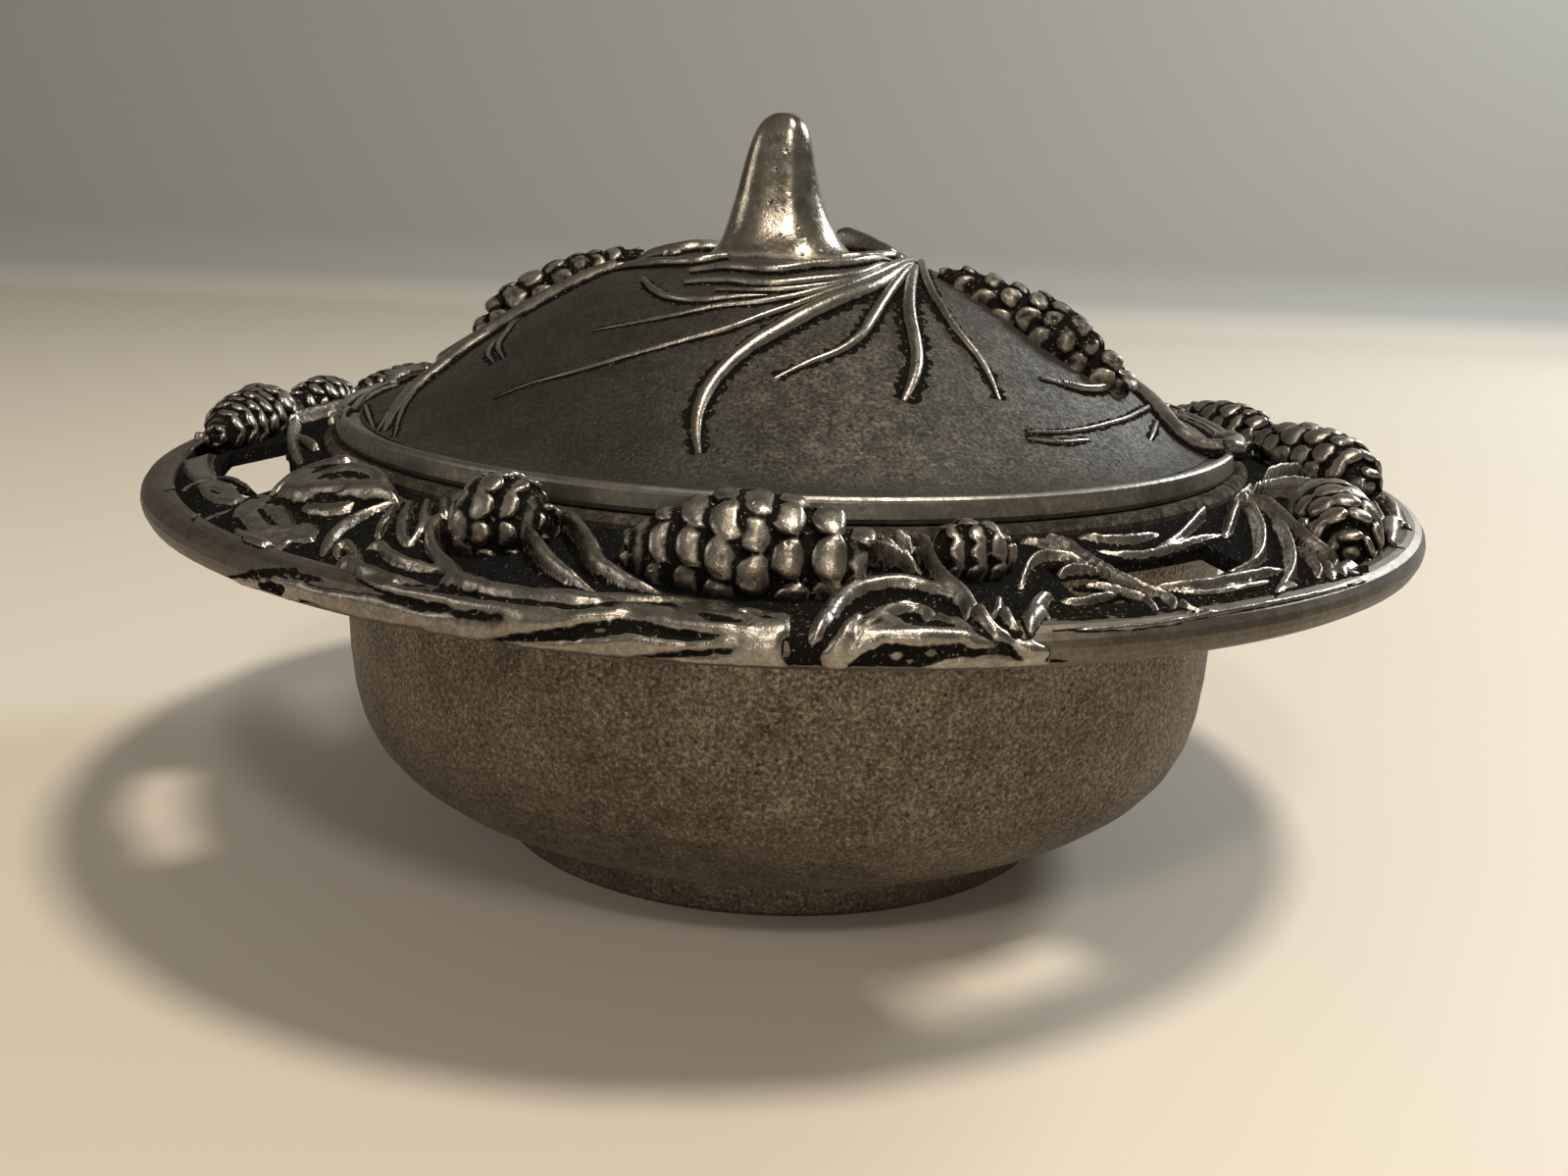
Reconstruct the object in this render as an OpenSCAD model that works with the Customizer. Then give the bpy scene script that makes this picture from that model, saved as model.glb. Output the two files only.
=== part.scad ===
// Cast pewter lidded bowl with a pierced pine-cone rim and a domed lid.
// Millimetres, up is +Z, the origin is the centre of the foot on the table.

/* [Bowl] */
// width across the outside of the bowl wall
bowl_d = 142; // [130:1:160]
// height of the ledge that the lid rests on
seat_h = 64.6; // [56:1:90]
// thickness of the bowl wall
wall_t = 3.2; // [2.4:0.2:4]
// thickness of the bowl floor
floor_t = 3.6; // [2.4:0.2:6]
// width across the foot ring
foot_d = 96; // [80:2:110]
// height of the foot ring
foot_h = 6.6; // [4:0.2:9]
// width of the foot ring's own wall
foot_t = 3.8; // [2.4:0.2:6]

/* [Rim] */
// width of the rim on each side, from the bowl wall to the outside of the hoop
rim_w = 29; // [26:0.5:38]
// fall of the hoop's crown below the lid ledge
rim_fall = 5; // [3:0.5:9]
// width of the hoop's section
hoop_w = 4.6; // [3.6:0.2:6]
// height of the hoop's section
hoop_h = 5; // [4:0.2:7]
// thickness of the pierced plate under the relief
web_t = 2.2; // [1.6:0.2:3]
// width of the ledge ring beyond the bowl wall
ledge_w = 2.8; // [2.2:0.2:3.6]
// depth of the ledge ring
ledge_h = 4.6; // [3.6:0.2:6]

/* [Lid] */
// how far the lid's edge reaches past the bowl wall
lid_over = 1; // [-0.4:0.1:1.6]
// rise from the underside of the lid to the crown of its dome
lid_rise = 28; // [22:1:40]
// thickness of the cast dome
lid_t = 2.6; // [2:0.2:4]
// height of the plain band round the lid's edge
band_h = 3.2; // [2.6:0.2:4.4]
// width of the bead on top of the band
bead_d = 1.6; // [1.2:0.1:2.2]
// depth of the ring that drops inside the bowl
spigot_h = 4.2; // [3:0.2:7]
// thickness of that ring
spigot_t = 2.4; // [1.8:0.2:3]
// air between that ring and the bowl
spigot_gap = 0.9; // [0.5:0.1:1.4]
// air between the closed lid and its ledge
rest_gap = 0.3; // [0.2:0.05:0.5]

/* [Finial] */
// height of the finial over the dome
finial_h = 22; // [16:1:30]
// width of the finial halfway up
finial_d = 13; // [10:0.5:16]
// width of the finial's flared root
finial_root_d = 26; // [22:1:28]
// how far the finial stands off the centre, to the left
finial_shift = 2.6; // [1:0.2:4]

/* [Relief] */
// thickness of the largest pine cone
cone_d = 16; // [13:0.5:17]
// scales counted once round a cone
cone_scales = 8; // [6:1:10]
// width of a pine needle
needle_w = 2.2; // [1.4:0.2:3]
// height of a pine needle over its ground
needle_h = 1.7; // [1.2:0.1:2.4]
// width of a branch strand
strand_w = 3.4; // [2.6:0.2:4.4]
// width of the knots where needles gather
knot_d = 6.4; // [5:0.2:8]

/* [Hidden] */
bowl_r = bowl_d / 2;
rim_r = bowl_r + rim_w;
foot_r = foot_d / 2;
lid_r = bowl_r + lid_over;
hoop_in = rim_r - hoop_w;
ledge_out = bowl_r + ledge_w;
ledge_under = seat_h - ledge_h;
web_drop = seat_h - rim_fall - web_t * 0.82;
web_in_z = seat_h - ledge_h * 0.35;
mouth_r = bowl_r - wall_t;
lid_z = seat_h + rest_gap;
spigot_r = mouth_r - spigot_gap;
dome_r = lid_r - band_h * 1.125;
crown_z = lid_z + lid_rise;
flange_h = band_h * 0.375;
sink = needle_h * 0.7;
turn = 360;
half = 0.5;

// outline of the bowl: share from foot to wall, then share from foot to ledge
bowl_shares = [[0, 0], [0.11, 0.005], [0.26, 0.024], [0.435, 0.057], [0.61, 0.1], [0.752, 0.15],
    [0.855, 0.205], [0.925, 0.27], [0.968, 0.35], [0.99, 0.45], [1, 0.58], [1, 1]];

// outline of the dome: share of its radius, then share of its rise
dome_shares = [[0.234, 1], [0.3, 0.97], [0.36, 0.927], [0.42, 0.876], [0.48, 0.81], [0.54, 0.733],
    [0.6, 0.648], [0.66, 0.555], [0.72, 0.46], [0.78, 0.365], [0.84, 0.272], [0.9, 0.185],
    [0.95, 0.125], [1, 0.09]];

// outline of the hoop: share of its width, then share of its height
hoop_shares = [[0, 0.08], [0.12, 0], [0.62, 0], [0.86, 0.14], [0.97, 0.34], [1, 0.52], [0.96, 0.7],
    [0.84, 0.86], [0.62, 0.96], [0.4, 1], [0.16, 0.98], [0, 0.88]];

// outline of the finial: share of half its root width, then share of its height
finial_shares = [[1, 0], [0.84, 0.04], [0.7, 0.1], [0.61, 0.2], [0.55, 0.32], [0.5, 0.45],
    [0.455, 0.57], [0.415, 0.68], [0.375, 0.79], [0.33, 0.87], [0.265, 0.935], [0.17, 0.98], [0.06, 1]];

// openings through the rim: start and end bearing, then start and end share across the rim
gap_shares = [[188, 212, 0.24, 0.7], [293, 313, 0.3, 0.78], [68, 82, 0.28, 0.72], [31, 43, 0.26, 0.66]];

// cones on the rim: bearing and share across at the tip, the same at the stalk, size, lift
rim_cone_shares = [
    [257.5, 0.4, 277.5, 0.4, 1, 0.24], [248.8, 0.22, 240.4, 0.3, 0.76, 0.28],
    [282.5, 0.32, 289.4, 0.3, 0.54, 0.2], [338, 0.47, 324, 0.9, 0.78, 0.24],
    [5, 0.36, -6, 0.94, 0.77, 0.38], [34, 0.6, 19, 0.72, 0.61, 0.42], [187, 0.88, 170.5, 0.8, 0.65, 0.38],
    [168, 0.75, 156, 0.78, 0.58, 0.4], [155, 0.75, 141, 0.68, 0.58, 0.4],
    [214, 0.4, 228, 0.16, 0.52, 0.18], [63, 0.42, 45, 0.45, 0.75, 0.34],
    [84, 0.4, 107, 0.4, 0.88, 0.32], [137, 0.46, 122, 0.46, 0.7, 0.34]];

// cones on the lid: share of the radius along and across at the tip, the same at the stalk, size, lift
lid_cone_shares = [
    [0.325, -0.087, 0.71, -0.217, 0.75, 0.06], [-0.385, 0.08, -0.713, -0.05, 0.7, 0.2],
    [0.62, 0.25, 0.83, 0.21, 0.5, 0.06], [-0.08, 0.3, -0.22, 0.68, 0.74, 0.06],
    [0.3, 0.3, 0.52, 0.56, 0.62, 0.06]];

// needles on the rim: width share, lift share, then bearing and share across at each point
spray_shares = [
    [1.5, 0.5, [[285.5, 1.1], [283.5, 0.8], [281, 0.52], [277.5, 0.47], [274.5, 0.74], [272.5, 1.1]]],
    [1.3, 0.35, [[285, 1.1], [283, 0.98], [281, 0.85], [279, 0.77], [276.3, 0.84], [274.3, 1.1]]],
    [1.3, 0.2, [[283.5, 1.14], [280.5, 1.08], [277.5, 1.03], [275.5, 1.1], [275, 1.16]]],
    [1.2, 0.7, [[285, 1.06], [284, 0.8], [283, 0.45], [282.6, 0.12]]],
    [1.1, 0.5, [[286, 1.06], [286, 0.92], [286, 0.7]]],
    [1.2, 0.6, [[286.5, 1.04], [288, 0.88], [289.5, 0.74], [291.5, 0.64]]]];
fork_shares = [
    [1.3, 0.6, [[259, 0.92], [255, 0.74], [251, 0.5], [247.5, 0.26], [244.5, 0.1]]],
    [1.2, 0.6, [[259.5, 0.88], [256, 0.56], [252.5, 0.28], [249.5, 0.08]]],
    [1, 0.3, [[261, 0.94], [265, 0.84], [268.5, 0.86]]]];
star_shares = [
    [1.2, 0.6, [[335.5, 0.07], [330, 0.2], [322, 0.5], [317, 0.68], [310, 0.76]]],
    [1.2, 0.7, [[335, 0.08], [329, 0.26], [321, 0.62], [315, 0.86], [308, 1.05]]],
    [1, 0.9, [[335.5, 0.1], [331, 0.36], [327, 0.68], [321.5, 1.02]]],
    [1.3, 1.3, [[337.5, 0.08], [343, 0.26], [348, 0.5], [350.5, 0.78]]],
    [1, 0.4, [[334, 0.07], [325, 0.13], [316, 0.2], [306, 0.24]]],
    [1, 0.4, [[333, 0.05], [322, 0.07], [310, 0.1], [298, 0.06]]]];
lone_shares = [
    [1.2, 0.9, [[293.5, 0.06], [296, 0.26], [298.5, 0.52], [300.5, 0.84], [303, 1.06]]],
    [0.8, 0.4, [[277, 0.06], [279.5, 0.2], [283, 0.42]]],
    [0.9, 0.4, [[276, 0.03], [279, 0.12], [282, 0.26]]],
    [1, 0.6, [[290.5, 0.56], [292, 0.36], [295, 0.28], [299.5, 0.46]]],
    [1, 0.3, [[291, 0.84], [296, 0.82], [302, 0.74]]],
    [1.4, 0.2, [[230, 0.24], [226, 0.38], [222, 0.62]]],
    [1.2, 0.4, [[231, 0.28], [229.5, 0.52], [231, 0.76], [234, 0.94]]],
    [1.2, 0.4, [[232, 0.3], [233, 0.5], [236.5, 0.7]]],
    [1.2, 0.5, [[233.5, 0.2], [236, 0.4], [239.5, 0.62]]],
    [1.2, 0.3, [[226, 0.08], [218, 0.1], [213.5, 0.3], [211.5, 0.66]]],
    [1.3, 1.2, [[177, 0.24], [182, 0.5], [188, 0.86]]],
    [1, 0.8, [[173, 0.16], [180, 0.34], [188, 0.6]]],
    [1, 0.4, [[15, 0.2], [22, 0.36], [28, 0.62]]],
    [1, 0.4, [[150, 0.2], [144, 0.34], [139, 0.6]]],
    [1, 0.4, [[16, 0.14], [24, 0.22], [33, 0.2], [42, 0.16]]],
    [1.4, 0.5, [[236, 0.14], [238, 0.36], [240, 0.62], [243, 0.82]]],
    [1.3, 0.5, [[234.5, 0.14], [236.5, 0.38], [238.5, 0.58]]],
    [1, 0.9, [[337, 0.1], [335, 0.42], [332, 0.78], [328, 1.04]]],
    [1, 0.7, [[338.5, 0.06], [346, 0.09], [354, 0.12]]],
    [1, 0.4, [[193, 0.14], [202, 0.12], [212, 0.14]]],
    [1, 0.4, [[314.5, 0.7], [311, 0.86], [303, 0.9], [293, 0.92]]]];

// branch strands round the rim, as the needles above
strand_shares = [
    [1, 0.4, [[260, 0.94], [254, 0.92], [249, 0.88], [243.5, 0.66], [238, 0.24]]],
    [1, 0.4, [[261, 1.02], [254, 1.06], [248, 1.08], [241, 1.06], [235, 1.02], [229, 0.98]]],
    [0.9, 0.3, [[260, 0.92], [264, 0.93], [268, 0.98], [272, 1]]],
    [0.9, 0.3, [[260, 1.04], [264, 1.09], [268, 1.1], [272.5, 1.1]]],
    [0.8, 0.2, [[255, 1.14], [261, 1.16], [267, 1.16], [272.5, 1.15]]],
    [0.9, 0.2, [[229, 1.08], [236, 1.13], [243, 1.15], [250, 1.14]]]];

// leaves on the rim: bearing, share across, size share, then the turn and the share from heel to point
leaf_shares = [[207, 0.84, 0.8, -4, 0.1], [211.5, 0.8, 0.9, -4, 0.2], [221.5, 0.78, 1.1, -5, 0.05],
    [226, 0.9, 0.8, -5, 0.12], [217, 0.94, 0.8, -5, 0.1], [148, 0.3, 0.8, 5, 0.2], [161, 0.24, 0.8, 5, 0.2],
    [28, 0.16, 0.8, 5, 0.2], [226, 0.36, 0.9, -5, 0.2], [346, 0.24, 0.8, 5, 0.1]];

// knots on the rim: bearing, share across, size share
knot_shares = [[286, 1.06, 1.1], [260, 0.96, 1.2], [336.5, 0.07, 0.9], [231.5, 0.22, 1],
    [95, 0.96, 1.2], [116, 1.04, 1.1], [66.5, 0.07, 0.9], [173.5, 0.16, 0.8], [355, 1.12, 0.7]];

// needles on the lid: width share, lift share, then shares of the radius along and across
lid_needle_shares = [
    [1.3, 1, [[0.28, -0.05], [0.2, -0.28], [0.08, -0.4], [-0.05, -0.52], [-0.12, -0.6], [-0.15, -0.7],
        [-0.15, -0.78], [-0.14, -0.84]]],
    [1, 0.9, [[0.28, -0.1], [0.17, -0.41], [0.14, -0.51], [0.08, -0.58], [0.03, -0.62], [-0.05, -0.68]]],
    [1.1, 0.9, [[0.28, -0.1], [0.26, -0.35], [0.27, -0.5], [0.26, -0.57], [0.22, -0.66]]],
    [1, 0.8, [[0.3, -0.07], [0.33, -0.33], [0.37, -0.44], [0.4, -0.52], [0.42, -0.61]]],
    [1.4, 1, [[0.28, -0.06], [0.17, -0.2], [0.05, -0.255], [-0.1, -0.26], [-0.24, -0.2], [-0.36, -0.06]]],
    [1, 0.8, [[0.24, -0.17], [0.04, -0.4], [-0.21, -0.5], [-0.4, -0.53], [-0.58, -0.52]]],
    [1, 0.7, [[0.18, -0.22], [-0.09, -0.42], [-0.33, -0.44], [-0.49, -0.4]]],
    [0.9, 0.6, [[-0.08, -0.3], [-0.21, -0.37], [-0.32, -0.32]]],
    [1.6, 1.2, [[-0.34, -0.02], [-0.54, -0.11], [-0.67, -0.19], [-0.73, -0.3], [-0.77, -0.42],
        [-0.78, -0.58]]],
    [0.9, 0.7, [[-0.5, -0.16], [-0.6, -0.25], [-0.62, -0.35]]],
    [0.8, 0.5, [[0.48, -0.45], [0.6, -0.4], [0.71, -0.24]]],
    [0.8, 0.5, [[0.46, -0.65], [0.57, -0.58], [0.7, -0.42], [0.78, -0.26]]],
    [1, 0.7, [[0.74, -0.1], [0.82, -0.14], [0.87, -0.2], [0.91, -0.29]]],
    [1.2, 0.9, [[0.05, 0.28], [-0.06, 0.46], [-0.02, 0.62], [0.08, 0.76], [0.2, 0.84]]],
    [1, 0.8, [[0.07, 0.28], [0.14, 0.46], [0.16, 0.62], [0.12, 0.76]]],
    [1, 0.8, [[0.08, 0.26], [0.26, 0.5], [0.32, 0.68], [0.42, 0.78]]],
    [1, 0.8, [[0, 0.28], [-0.34, 0.4], [-0.54, 0.44], [-0.7, 0.42]]],
    [1, 0.8, [[-0.3, 0.16], [-0.5, 0.26], [-0.64, 0.28], [-0.8, 0.24]]],
    [1, 0.7, [[0.3, 0], [0.5, 0.06], [0.66, 0.02], [0.82, 0.04]]],
    [1, 0.7, [[0.3, 0.04], [0.5, 0.18], [0.66, 0.4], [0.74, 0.52]]],
    [0.9, 0.6, [[-0.02, 0.3], [-0.36, 0.58], [-0.46, 0.7], [-0.6, 0.68]]]];

// knots on the lid: shares of the radius along and across, size share
lid_knot_shares = [[0.3, -0.06, 0.8], [-0.37, 0, 0.9], [0.04, 0.28, 0.9], [0.24, 0.14, 0.7],
    [-0.18, -0.27, 0.6], [-0.24, 0.16, 0.7], [0.2, -0.16, 0.6], [0.74, -0.2, 0.6]];

// root branches out of the finial's flank: shares of the lid on from there and across, lift in finial
// heights, width share
root_shares = [[0, 0, 0.3, 1.9], [0.03, -0.01, 0.24, 1.6], [0.06, -0.02, 0.13, 1.3],
    [0.13, -0.035, 0.05, 1.1], [0.21, -0.05, 0.02, 1], [0.25, -0.06, -0.02, 0.5]];
back_root_shares = [[0, 0, 0.2, 1.9], [0.03, 0, 0.16, 1.6], [0.11, 0, 0.06, 1.3],
    [0.21, -0.005, 0.02, 1.2], [0.31, -0.01, 0, 1], [0.37, -0.02, -0.04, 0.5]];
// width of the finial where the root branches leave it: share of its root width
flank_share = 0.4;

function unit(v) = v / norm(v);
function mix(a, b, t) = a + (b - a) * t;
function along(pts, t) = let (n = len(pts) - 1, k = min(floor(t * n), n - 1))
    mix(pts[k], pts[k + 1], t * n - k);
function bent(pts, t) = let (d = t * (1 - t) * 0.5)
    (along(pts, t - d) + along(pts, t) * 2 + along(pts, t + d)) / 4;
function inset(pts, i, t) = let (a = pts[max(i - 1, 0)], b = pts[min(i + 1, len(pts) - 1)], d = unit(b - a))
    pts[i] + [-d[1], d[0]] * t;
function rounded(pts, k) = let (m = len(pts) - 1)
    concat([for (i = [0:m - 1], j = [0:k - 1]) curve(pts[max(i - 1, 0)], pts[i], pts[i + 1],
        pts[min(i + 2, m)], j / k)], [pts[m]]);
function curve(a, b, c, d, t) = b + (c - a) * t * half + (a * 2 - b * 5 + c * 4 - d) * t * t * half
    + (b * 3 - a - c * 3 + d) * t * t * t * half;

// top of the rim's ground at a share across, and the point in space with a lift
function rim_z(u) = u <= 1 ? mix(web_in_z, web_drop, u)
    : mix(seat_h - rim_fall, seat_h - rim_fall - hoop_h * 0.55, (u - 1) * 5);
function rim_reach(u) = u <= 1 ? mix(ledge_out, hoop_in, u) : hoop_in + hoop_w * (u - 1) * 4.7;
function rim_point(p, lift) = let (r = rim_reach(p[1]))
    [r * cos(p[0]), r * sin(p[0]), rim_z(p[1]) + lift];

// top of the dome at a share of the radius, and the point in space with a lift
function dome_z(s) = lid_z + lid_rise * lookup(min(max(s * lid_r / dome_r, 0.234), 1), dome_shares);
function lid_point(p, lift) = [p[0] * lid_r, p[1] * lid_r, dome_z(norm([p[0], p[1]])) + lift];

// frame across a path: sideways, upward and forward
function sideways(f) = unit(cross([0, 0, 1], f));

// closed skin over a stack of rings, each with the same number of points
module skin(rings) {
    n = len(rings[0]);
    m = len(rings);
    polyhedron([for (r = rings) each r], concat(
        [[for (j = [0:n - 1]) j]],
        [for (i = [0:m - 2], j = [0:n - 1]) [i * n + j, (i + 1) * n + j, (i + 1) * n + (j + 1) % n]],
        [for (i = [0:m - 2], j = [0:n - 1]) [i * n + j, (i + 1) * n + (j + 1) % n, i * n + (j + 1) % n]],
        [[for (j = [0:n - 1]) (m - 1) * n + n - 1 - j]]));
}

// ridge that follows points, with a width and a height at each
module ridge(pts, wide, high) {
    m = len(pts);
    skin([for (i = [0:m - 1]) let (f = unit(pts[min(i + 1, m - 1)] - pts[max(i - 1, 0)]),
        s = sideways(f), u = cross(f, s), w = wide[i] / 2, h = high[i])
        [pts[i] - s * w - u * sink, pts[i] + s * w - u * sink, pts[i] + s * w * 0.72 + u * h * 0.62,
         pts[i] + u * h, pts[i] - s * w * 0.72 + u * h * 0.62]]);
}

// needle or strand from a table row, laid on the rim
module rim_ridge(row, w, h, turned, steps) {
    ts = [for (i = [0:steps]) i / steps];
    ridge([for (t = ts) rim_point(bent(row[2], t) + [turned, 0], row[1] * h)],
        [for (t = ts) row[0] * w * swell(t)], [for (t = ts) h * swell(t)]);
}

// needle from a table row, laid on the lid
module lid_ridge(row, w, h, steps) {
    ts = [for (i = [0:steps]) i / steps];
    ridge([for (t = ts) lid_point(bent(row[2], t), row[1] * h * half * (1 - t))],
        [for (t = ts) row[0] * w * swell(t)], [for (t = ts) h * swell(t)]);
}
function swell(t) = 0.3 + 0.7 * sin(180 * pow(1 - t, 1.3) * 0.94 + 8);

// pine cone between two points: body of revolution with a spiral of raised scales
module cone(tip, stalk, r, deep, rows) {
    n = cone_scales;
    m = rows;
    f = unit(stalk - tip);
    s = sideways(f);
    u = cross(f, s);
    body = [for (i = [0:m]) r * cone_swell(i / m)];
    at = function (i, t, a, grow) let (c = cos(a), d = sin(a), q = body[i] * grow)
        mix(tip, stalk, t) + s * q * (d < 0 ? sign(c) * pow(abs(c), half) : c)
            + u * (d < 0 ? d * deep : d * q);
    off = function (i) (i % 2) / 2;
    rings = [for (i = [0:m], j = [0:n - 1]) at(i, i / m, (j + off(i)) * turn / n, 0.91)];
    peaks = [for (i = [0:m - 2], j = [0:n - 1]) at(i + 1, (i + 0.86) / m, (j + off(i)) * turn / n, 1.1)];
    ends = [mix(tip, stalk, -0.03), mix(tip, stalk, 1.02)];
    v = function (i, j) i * n + (j + n) % n;
    c = function (i, j) (m + 1) * n + i * n + j;
    l = function (i, j) v(i + 1, i % 2 == 0 ? j - 1 : j);
    g = function (i, j) v(i + 1, i % 2 == 0 ? j : j + 1);
    low = (m + 1) * n + (m - 1) * n;
    polyhedron(concat(rings, peaks, ends), concat(
        [for (i = [0:m - 2], j = [0:n - 1]) [c(i, j), v(i, j), l(i, j)]],
        [for (i = [0:m - 2], j = [0:n - 1]) [c(i, j), l(i, j), v(i + 2, j)]],
        [for (i = [0:m - 2], j = [0:n - 1]) [c(i, j), v(i + 2, j), g(i, j)]],
        [for (i = [0:m - 2], j = [0:n - 1]) [c(i, j), g(i, j), v(i, j)]],
        [for (j = [0:n - 1]) [v(0, j), v(1, j), v(0, j + 1)]],
        [for (j = [0:n - 1]) [v(0, j), v(0, j + 1), low]],
        [for (j = [0:n - 1]) [v(m, j), v(m, j + 1), v(m - 1, j)]],
        [for (j = [0:n - 1]) [v(m, j), low + 1, v(m, j + 1)]]));
}
function cone_swell(t) = pow(sin(180 * (0.1 + 0.78 * t)), 0.8);

// rounded boss, flattened, with its foot sunk in the ground
module boss(p, d) {
    hull() {
        translate(p) sphere(d = d * 0.75, $fn = 6);
        translate(p - [0, 0, sink]) cylinder(d = d, h = sink, $fn = 7);
    }
}

module bowl_wall() {
    out = [for (s = bowl_shares) [mix(foot_r, bowl_r, s[0]), mix(foot_h, ledge_under, s[1])]];
    n = len(out);
    color("DimGray") rotate_extrude($fn = 96)
        polygon(concat([[0, foot_h]], out,
            [for (i = [n - 1:-1:2]) i == n - 1 ? out[i] - [wall_t, 0] : inset(out, i, wall_t)],
            [[foot_r * 0.96, foot_h + floor_t], [0, foot_h + floor_t]]));
}

module foot_ring() {
    color("DimGray") rotate_extrude($fn = 96)
        polygon([[foot_r - foot_t, 0], [foot_r - foot_h * 0.14, 0], [foot_r - foot_h * 0.05, foot_h * 0.12],
            [foot_r, foot_h], [foot_r - foot_t * 1.15, foot_h]]);
}

module rim_ledge() {
    color("Gray") rotate_extrude($fn = 96)
        polygon([[mouth_r, ledge_under], [mouth_r, seat_h - ledge_h * 0.08],
            [mouth_r + wall_t * 0.12, seat_h],
            [ledge_out - ledge_w * 0.3, seat_h], [ledge_out, seat_h - ledge_h * 0.2],
            [ledge_out, ledge_under + ledge_h * 0.1], [bowl_r, ledge_under]]);
}

module rim_web() {
    color("Gray") difference() {
        rotate_extrude($fn = 96)
            polygon([[ledge_out, web_in_z], [hoop_in, web_drop], [hoop_in, web_drop - web_t],
                [ledge_out, web_in_z - web_t]]);
        for (g = gap_shares) rotate([0, 0, g[0]]) rotate_extrude(angle = g[1] - g[0], $fn = 96)
            translate([mix(ledge_out, hoop_in, g[2]), web_drop - web_t * 2])
            square([(hoop_in - ledge_out) * (g[3] - g[2]), web_in_z - web_drop + web_t * 3]);
    }
}

module rim_hoop() {
    base = seat_h - rim_fall - hoop_h;
    color("DarkGray") rotate_extrude($fn = 96)
        polygon([for (s = hoop_shares) [hoop_in + hoop_w * s[0], base + hoop_h * s[1]]]);
}

module rim_cones() {
    color("Silver") for (c = rim_cone_shares) {
        r = cone_d / 2 * c[4];
        up = cone_d * c[5] * half;
        deep = up + web_t * half;
        cone(rim_point([c[0], c[1]], up), rim_point([c[2], c[3]], up), r, deep, c[4] > 0.74 ? 10 : 8);
        boss(rim_point([c[2], c[3]], sink), knot_d * half);
    }
}

module rim_needles() {
    color("Silver") {
        for (a = [0, 190], row = spray_shares) rim_ridge(row, needle_w, needle_h, a, 5);
        for (a = [0, -165], row = fork_shares) rim_ridge(row, needle_w, needle_h, a, 4);
        for (a = [0, 90], row = star_shares) rim_ridge(row, needle_w, needle_h, a, 4);
        for (row = lone_shares) rim_ridge(row, needle_w, needle_h, 0, 3);
        for (k = knot_shares) boss(rim_point(k, 0), knot_d * half);
    }
}

module rim_strands() {
    color("Silver") {
        for (a = [0, -165], row = strand_shares) rim_ridge(row, strand_w, needle_h, a, 6);
        for (a = [0, -165], k = [254, 248, 241, 266]) boss(rim_point([k + a, 1.08], 0), strand_w * half);
    }
}

module rim_leaves() {
    color("Silver") for (l = leaf_shares) hull() {
        boss(rim_point(l, needle_h * 0.4), knot_d * l[2]);
        boss(rim_point([l[0] + l[3], l[1] + l[4]], 0), knot_d * l[2] * 0.4);
    }
}

module rim_knots() {
    color("Silver") for (k = knot_shares) boss(rim_point(k, needle_h * half), knot_d * k[2]);
}

module lid_dome() {
    out = [for (s = rounded(dome_shares, 3)) [dome_r * s[0], lid_z + lid_rise * s[1]]];
    n = len(out);
    low = lid_z + flange_h;
    color("DimGray") rotate_extrude($fn = 96)
        polygon(concat([[0, crown_z]], out, [[dome_r, low], [dome_r - lid_t * 1.4, low]],
            [for (i = [n - 7:-3:1]) inset(out, i, -lid_t)], [[0, crown_z - lid_t]]));
}

module lid_band() {
    edge = lid_r - bead_d * 0.55;
    top = lid_z + band_h;
    color("Gray") rotate_extrude($fn = 96)
        polygon(concat([[spigot_r - spigot_t, lid_z], [lid_r - bead_d * 0.15, lid_z],
            [lid_r, lid_z + band_h * 0.2], [lid_r - bead_d * 0.05, top - bead_d * half]],
            [for (a = [0:30:180]) [edge, top - bead_d * 0.4] + bead_d * half * [cos(a), sin(a)]],
            [[dome_r, lid_z + lid_rise * 0.08], [dome_r, lid_z + flange_h],
            [spigot_r - spigot_t, lid_z + flange_h]]));
}

module lid_spigot() {
    color("Gray") rotate_extrude($fn = 96)
        polygon([[spigot_r - spigot_t, lid_z - spigot_h], [spigot_r - spigot_t * 0.3, lid_z - spigot_h],
            [spigot_r, lid_z - spigot_h * 0.8], [spigot_r, lid_z], [spigot_r - spigot_t, lid_z]]);
}

module lid_cones() {
    color("Silver") for (c = lid_cone_shares) {
        r = cone_d / 2 * c[4];
        up = cone_d * c[5] * half;
        cone(lid_point([c[0], c[1]], up), lid_point([c[2], c[3]], up), r, up + lid_t, c[4] > 0.65 ? 10 : 8);
        boss(lid_point([c[0], c[1]], 0), knot_d * half);
        boss(lid_point([c[2], c[3]], 0), knot_d * half);
    }
}

module lid_needles() {
    color("Silver") {
        for (row = lid_needle_shares) lid_ridge(row, needle_w, needle_h, 6);
        for (k = lid_knot_shares) boss(lid_point(k, 0), knot_d * half);
    }
}

module lid_knots() {
    color("Silver") for (k = lid_knot_shares) boss(lid_point(k, needle_h * 0.4), knot_d * k[2]);
}

module finial() {
    widen = finial_d / (finial_root_d * half);
    color("Silver") translate([-finial_shift, 0, crown_z]) rotate_extrude($fn = 72)
        polygon(concat([[0, 0]],
            [for (s = finial_shares)
                [finial_root_d * half * s[0] * mix(widen, 1, pow(1 - s[1], 3)), finial_h * s[1]]],
            [[0, finial_h]]));
}

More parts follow.
